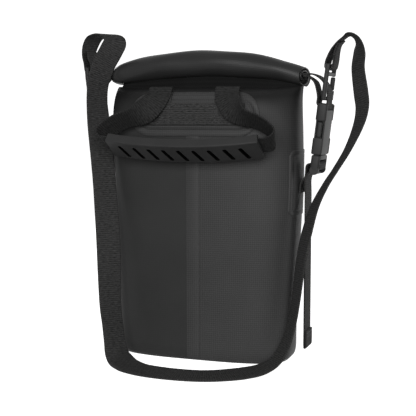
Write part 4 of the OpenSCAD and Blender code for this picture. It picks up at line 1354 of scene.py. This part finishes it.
class DRYBAG_OT_side_straps(bpy.types.Operator):
    """Welds the side patches and threads their straps through the ladder locks"""
    bl_idname = "drybag.side_straps"
    bl_label = "Side straps"

    corner = 0.007
    groove = 0.0003
    seat_gap = 0.0008
    # The tail: its lower end, its distance from the lock, and the fold and stitches of its hem
    tail_low = 0.015
    tail_set = 0.010
    hem_fold = 0.0018
    hem_seams = (0.011, 0.0145)
    anchor_seams = (-0.008, -0.0045)
    turn_angles = np.radians(np.arange(110, -91, -40))

    def execute(self, context):
        skin, handle, web = Skin(), settings().handle, settings().web
        for side, sign in SIDES:
            self.patch(skin, handle, side, sign)
            self.strap(skin, handle, web, side, sign)
        return {"FINISHED"}

    def patch(self, skin, handle, side, sign):
        thick = handle.patch_thickness
        sunk = thick - self.groove
        steps = ((0.0, 0.0001), (0.0001, 0.0006), (0.0005, thick), (0.0040, thick), (0.0044, sunk),
                 (0.0052, sunk), (0.0056, thick), (0.012, thick), (0.018, thick), (0.024, thick))

        def place(y, h, out):
            return skin.side(y, h + handle.side_patch_middle, out)

        patch = welded_patch(f"{side}_anchor_patch", handle.side_patch_depth / 2,
                             handle.side_patch_height / 2, self.corner, steps, place, sign < 0)
        dress(patch, "root", "welded_patch", f"{side}_side_patch")

    def strap(self, skin, handle, web, side, sign):
        buckle, wide, ply = settings().buckle, web.width, web.thickness / 2
        middle, low = handle.side_patch_middle, self.tail_low
        girth = float(skin.half_width(np.array(middle)))
        seat = girth + self.seat_gap + handle.patch_thickness + ply
        lock_x, lock_z = from_buckle(0, -buckle.lock_depth)
        wrap = buckle.lock_radius + ply + 0.0004
        tail = lock_x - self.tail_set
        folded = tail + self.hem_fold
        points = [(seat, middle - 0.010, wide), (seat, middle - 0.004, wide),
                  (seat + 0.0012, middle + 0.0015, wide), (seat + 0.005, middle + 0.0065, wide),
                  (lock_x - 0.0092, lock_z + 0.0004, wide), (lock_x - 0.0054, lock_z + 0.0027, wide)]
        points += turned(lock_x, lock_z, wrap, self.turn_angles, wide)
        points += [(lock_x - 0.0056, lock_z - 0.0052, wide), (tail, lock_z - 0.013, wide)]
        points += [(tail, lock_z - fall, wide) for fall in (0.03, 0.07, 0.11)]
        points += [(tail, low + 0.02, wide), (tail, low + 0.002, wide),
                   ((tail + folded) / 2, low, wide),
                   (folded, low + 0.002, wide), (folded, low + 0.017, wide)]
        rows = smooth(flat_rows(points, 0), 6)
        strap = webbing(f"{side}_adjuster_strap", on_side(rows, sign))
        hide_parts(f"{side}_side_strap")
        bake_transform(strap)
        lines = cross_seams(seat + ply, [middle + z for z in self.anchor_seams], sign, wide)
        dress(stitching(f"{side}_anchor_stitching", lines), "root", "webbing")
        hems = cross_seams(folded + ply, [low + z for z in self.hem_seams], sign, wide)
        dress(stitching(f"{side}_hem_stitching", hems), "roll", "webbing")


class DRYBAG_OT_buckles(bpy.types.Operator):
    """Moulds the side-release buckles: sockets, plugs and squeeze arms"""
    bl_idname = "drybag.buckles"
    bl_label = "Buckles"

    # Roundings of the rails, the side walls, the plug's rails and the arms' buttons, for each axis
    rail_round = (0.0042, 0.002, 0.002)
    wall_round = (0.0042, 0.0014, 0.0014)
    plug_round = (0.0034, 0.002, 0.0016)
    button_round = (0.0022, 0.0013, 0.0018)
    plate_inset = 0.0022
    tongue_half = 0.0045
    tongue_top = 0.028

    def socket(self, b):
        """The hollow socket with its bar and ears."""
        x, y = b.socket_thickness / 2, b.socket_width / 2
        rail = (b.socket_width - settings().web.width) / 2 - b.clearance
        window_top = b.window_place + b.window_height
        floor = b.bar_height - b.bar_radius - settings().web.thickness - 2 * b.clearance
        ear_top = b.bar_height + b.ear_height
        across, half = x - 0.0002, y - 0.001
        shapes = [moulded_box((-across, -half, floor - b.wall), (across, half, floor), 0.0004),
                  moulded_bar((0, 0, b.bar_height), b.bar_radius, b.socket_width - rail)]
        inset = y - self.plate_inset
        for s in (-1, 1):
            near, far = sorted((s * (x - b.step), s * (x - b.step - b.wall)))
            shapes += [
                moulded_box((near, -inset, 0), (far, inset, b.socket_height), 0.0008),
                side_box(s, x, (y, y - b.wall - 0.0012), (0, b.window_place), self.wall_round),
                side_box(s, x, (y, y - rail), (window_top, ear_top), self.rail_round)]
        return shapes

    def plug(self, b):
        """The plug with its tongue, and the ladder lock's two bars between its rails."""
        x, y = b.lock_thickness / 2, b.socket_width / 2
        inner = settings().web.width / 2 + b.clearance
        thin, half = b.arm_thickness / 2, y - 0.004
        tongue, edge = self.tongue_half, b.edge_radius
        foot = x - b.lock_height
        shapes = [moulded_box((-x, -half, -0.005), (x, half, -b.clearance), 0.001),
                  moulded_box((-thin, -tongue, -0.002), (thin, tongue, self.tongue_top), 0.0012),
                  moulded_bar((0, 0, -b.lock_depth), b.lock_radius, b.socket_width - 0.002),
                  moulded_bar((0, 0, edge - b.lock_height), edge, b.socket_width - 0.003)]
        wide = y - inner
        for s in (-1, 1):
            place = (0, s * (y + inner) / 2, foot)
            shapes += [side_box(s, x, (y, inner), (foot, -b.clearance), self.plug_round),
                       moulded_bar(place, x, wide - 0.001),
                       moulded_bar(place, x - 0.0006, wide - 0.0003)]
        return shapes

    def arm(self, b, s):
        """A squeeze arm: its stem and the button in the side window."""
        x = b.arm_thickness / 2
        stem = b.arm_width - 0.0012
        middle = b.socket_width / 2 - b.wall - b.clearance - stem / 2
        root = b.clearance + 0.001
        low, top = b.window_place + b.clearance, b.window_place + b.window_height - b.clearance
        inner, outer = middle - stem / 2, middle + stem / 2
        face = b.socket_width / 2 + 0.0004
        return [side_box(s, x, (inner, outer), (-root, top), 0.0006),
                side_box(s, x, (inner, face), (low, top), self.button_round)]

    def execute(self, context):
        buckle, material = settings().buckle, plastic_material()
        for side, sign in SIDES:
            pieces = [("socket", self.socket(buckle), "roll"), ("plug", self.plug(buckle), "roll"),
                      ("arm_front", self.arm(buckle, -1), f"{side}_arm_front"),
                      ("arm_rear", self.arm(buckle, 1), f"{side}_arm_rear")]
            for name, shapes, body in pieces:
                made = moulding(f"{side}_{name}_moulding", shapes, 0, sign, material)
                dress(made, body, "moulded_plastic", f"{side}_buckle_{name}")
        return {"FINISHED"}


class DRYBAG_OT_hooks(bpy.types.Operator):
    """Moulds the snap hooks that carry the shoulder strap, and their gates"""
    bl_idname = "drybag.hooks"
    bl_label = "Snap hooks"

    rounding = 0.0018
    gate_round = 0.0014
    # The room above and below the gate's pivot, and the gate's running clearance
    knuckle = 0.0024
    play = 0.00035

    def frame(self, h):
        """The hook's frame: lower bar, legs, cross bar, eye, and the gate's pin and cheeks."""
        x, y = h.thickness / 2, (h.width - h.leg) / 2
        eye = h.width / 2 - h.eye_leg / 2 - 0.0008
        leg, span = h.leg / 2, 2 * y
        low, high, nose = h.gate - self.knuckle - self.play, h.cross + leg, h.cross - h.nose
        shapes = [moulded_bar((0, 0, 0), leg, span), moulded_bar((0, 0, h.cross), leg, span),
                  moulded_bar((0, 0, h.height), h.eye_radius, 2 * eye),
                  moulded_box((-x, -y - leg, -leg), (x, -y + leg, high), self.rounding),
                  moulded_box((-x, y - leg, -leg), (x, y + leg, low), self.rounding),
                  moulded_box((-x, y - leg, nose), (x, y + leg, high), self.rounding),
                  moulded_bar((0, y, h.gate), h.pin, h.thickness, 0)]
        cheek = leg + 0.0003
        for s in (-1, 1):
            shapes.append(side_box(s, x, (eye - h.eye_leg / 2, eye + h.eye_leg / 2),
                                   (h.cross - 0.001, h.height + h.eye_radius), self.gate_round))
            near, far = sorted((s * x, s * (x - h.cheek)))
            shapes.append(moulded_box((near, y - cheek, 0.0005 - leg),
                                      (far, y + cheek, h.gate + self.knuckle), 0.0004))
        return shapes

    def gate(self, h):
        """The sprung gate: its knuckle between the cheeks and the broad bar above it."""
        x, y, leg = h.thickness / 2, (h.width - h.leg) / 2, h.leg / 2
        thin = x - h.cheek - self.play
        low, top = h.gate + self.knuckle + self.play, h.cross - h.nose - self.play
        return [moulded_box((-thin, y - leg, h.gate - leg), (thin, y + leg, low + 0.001), 0.0012),
                moulded_box((-x, y - leg, low), (x, y + leg, top), self.gate_round)]

    def execute(self, context):
        hook, buckle, material = settings().hook, settings().buckle, plastic_material()
        lift = buckle.bar_height + hook.rise
        for side, sign in SIDES:
            made = moulding(f"{side}_hook_moulding", self.frame(hook), lift, sign, material)
            dress(made, "roll", "moulded_plastic", f"{side}_snap_hook")
            made = moulding(f"{side}_gate_moulding", self.gate(hook), lift, sign, material)
            dress(made, f"{side}_gate", "moulded_plastic", f"{side}_hook_gate")
        return {"FINISHED"}


class DRYBAG_OT_hardware(bpy.types.Operator):
    """Finishes the moulded grip and the stiffener"""
    bl_idname = "drybag.hardware"
    bl_label = "Grip and stiffener"

    radii = {"handle_grip": 0.0012, "hem_stiffener": 0.0003}
    # How far the slots reach from the grip's middle line, and what still counts as a wall of one,
    # for the painted shade in the slots
    slot_reach = 0.0124
    wall_facing = 0.3

    def round_off(self, node, radius):
        """Joins the solid's faces and rounds its edges as a mould would."""
        joined = node.modifiers.new("joined faces", "WELD")
        joined.merge_threshold = 0.00001
        flat = node.modifiers.new("flat faces", "DECIMATE")
        flat.decimate_type = "DISSOLVE"
        flat.angle_limit = math.radians(0.5)
        edge = node.modifiers.new("moulded edges", "BEVEL")
        edge.width = radius
        edge.segments = 3
        edge.limit_method = "ANGLE"
        edge.angle_limit = math.radians(35)
        shade = node.modifiers.new("even shading", "WEIGHTED_NORMAL")
        shade.weight = 80

    def paint_slot_shade(self, grip, handle):
        """Paints the walls inside the grip's slots near black, a painted shade for the deep shadow
        in them.
        """
        place = grip.matrix_world
        c, s = math.cos(handle.grip_lean), math.sin(handle.grip_lean)
        up, out = np.array((0, -s, c)), np.array((0, -c, -s))
        ends = np.array((0, -handle.grip_reach, handle.grip_height))
        slot_shade = plastic_material("slot_shade_plastic", settings().finish.slot, 0.6, 0.0)
        grip.data.materials.append(slot_shade)
        inside = handle.grip_length / 2 - GRIP_END
        for face in grip.data.polygons:
            at = np.array(place @ face.center)
            level = abs(np.dot(at - ends, up))
            facing = abs(np.dot(np.array(place.to_3x3() @ face.normal), out))
            if facing < self.wall_facing and level < self.slot_reach and abs(at[0]) < inside:
                face.material_index = 1

    def execute(self, context):
        for name, radius in self.radii.items():
            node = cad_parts[name]
            node.data.materials.clear()
            node.data.materials.append(plastic_material())
            self.round_off(node, radius)
        self.paint_slot_shade(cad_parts["handle_grip"], settings().handle)
        return {"FINISHED"}


class DRYBAG_PT_panel(bpy.types.Panel):
    """Lists the makers of the bag's pieces in the order they run"""
    bl_label = "Dry Bag"
    bl_idname = "DRYBAG_PT_panel"
    bl_space_type = "VIEW_3D"
    bl_region_type = "UI"
    bl_category = "Dry Bag"

    def draw(self, context):
        for maker in MAKERS:
            self.layout.operator(maker.bl_idname)


MAKERS = (DRYBAG_OT_stage, DRYBAG_OT_shoulder_strap, DRYBAG_OT_shell, DRYBAG_OT_seam,
          DRYBAG_OT_collar, DRYBAG_OT_roll, DRYBAG_OT_handle_patch, DRYBAG_OT_handle,
          DRYBAG_OT_end_tabs, DRYBAG_OT_side_straps, DRYBAG_OT_buckles, DRYBAG_OT_hooks,
          DRYBAG_OT_hardware)
CLASSES = (BagSize, RollSize, WebbingSize, HandleSize, BuckleSize, HookSize, Finishes, StageLook,
           DryBag, *MAKERS, DRYBAG_PT_panel)


def register():
    for cls in CLASSES:
        bpy.utils.register_class(cls)
    bpy.types.Scene.dry_bag = PointerProperty(type=DryBag)


def unregister():
    del bpy.types.Scene.dry_bag
    for cls in reversed(CLASSES):
        bpy.utils.unregister_class(cls)


def main():
    register()
    for maker in MAKERS:
        group, name = maker.bl_idname.split(".")
        getattr(getattr(bpy.ops, group), name)()


if __name__ == "__main__":
    main()
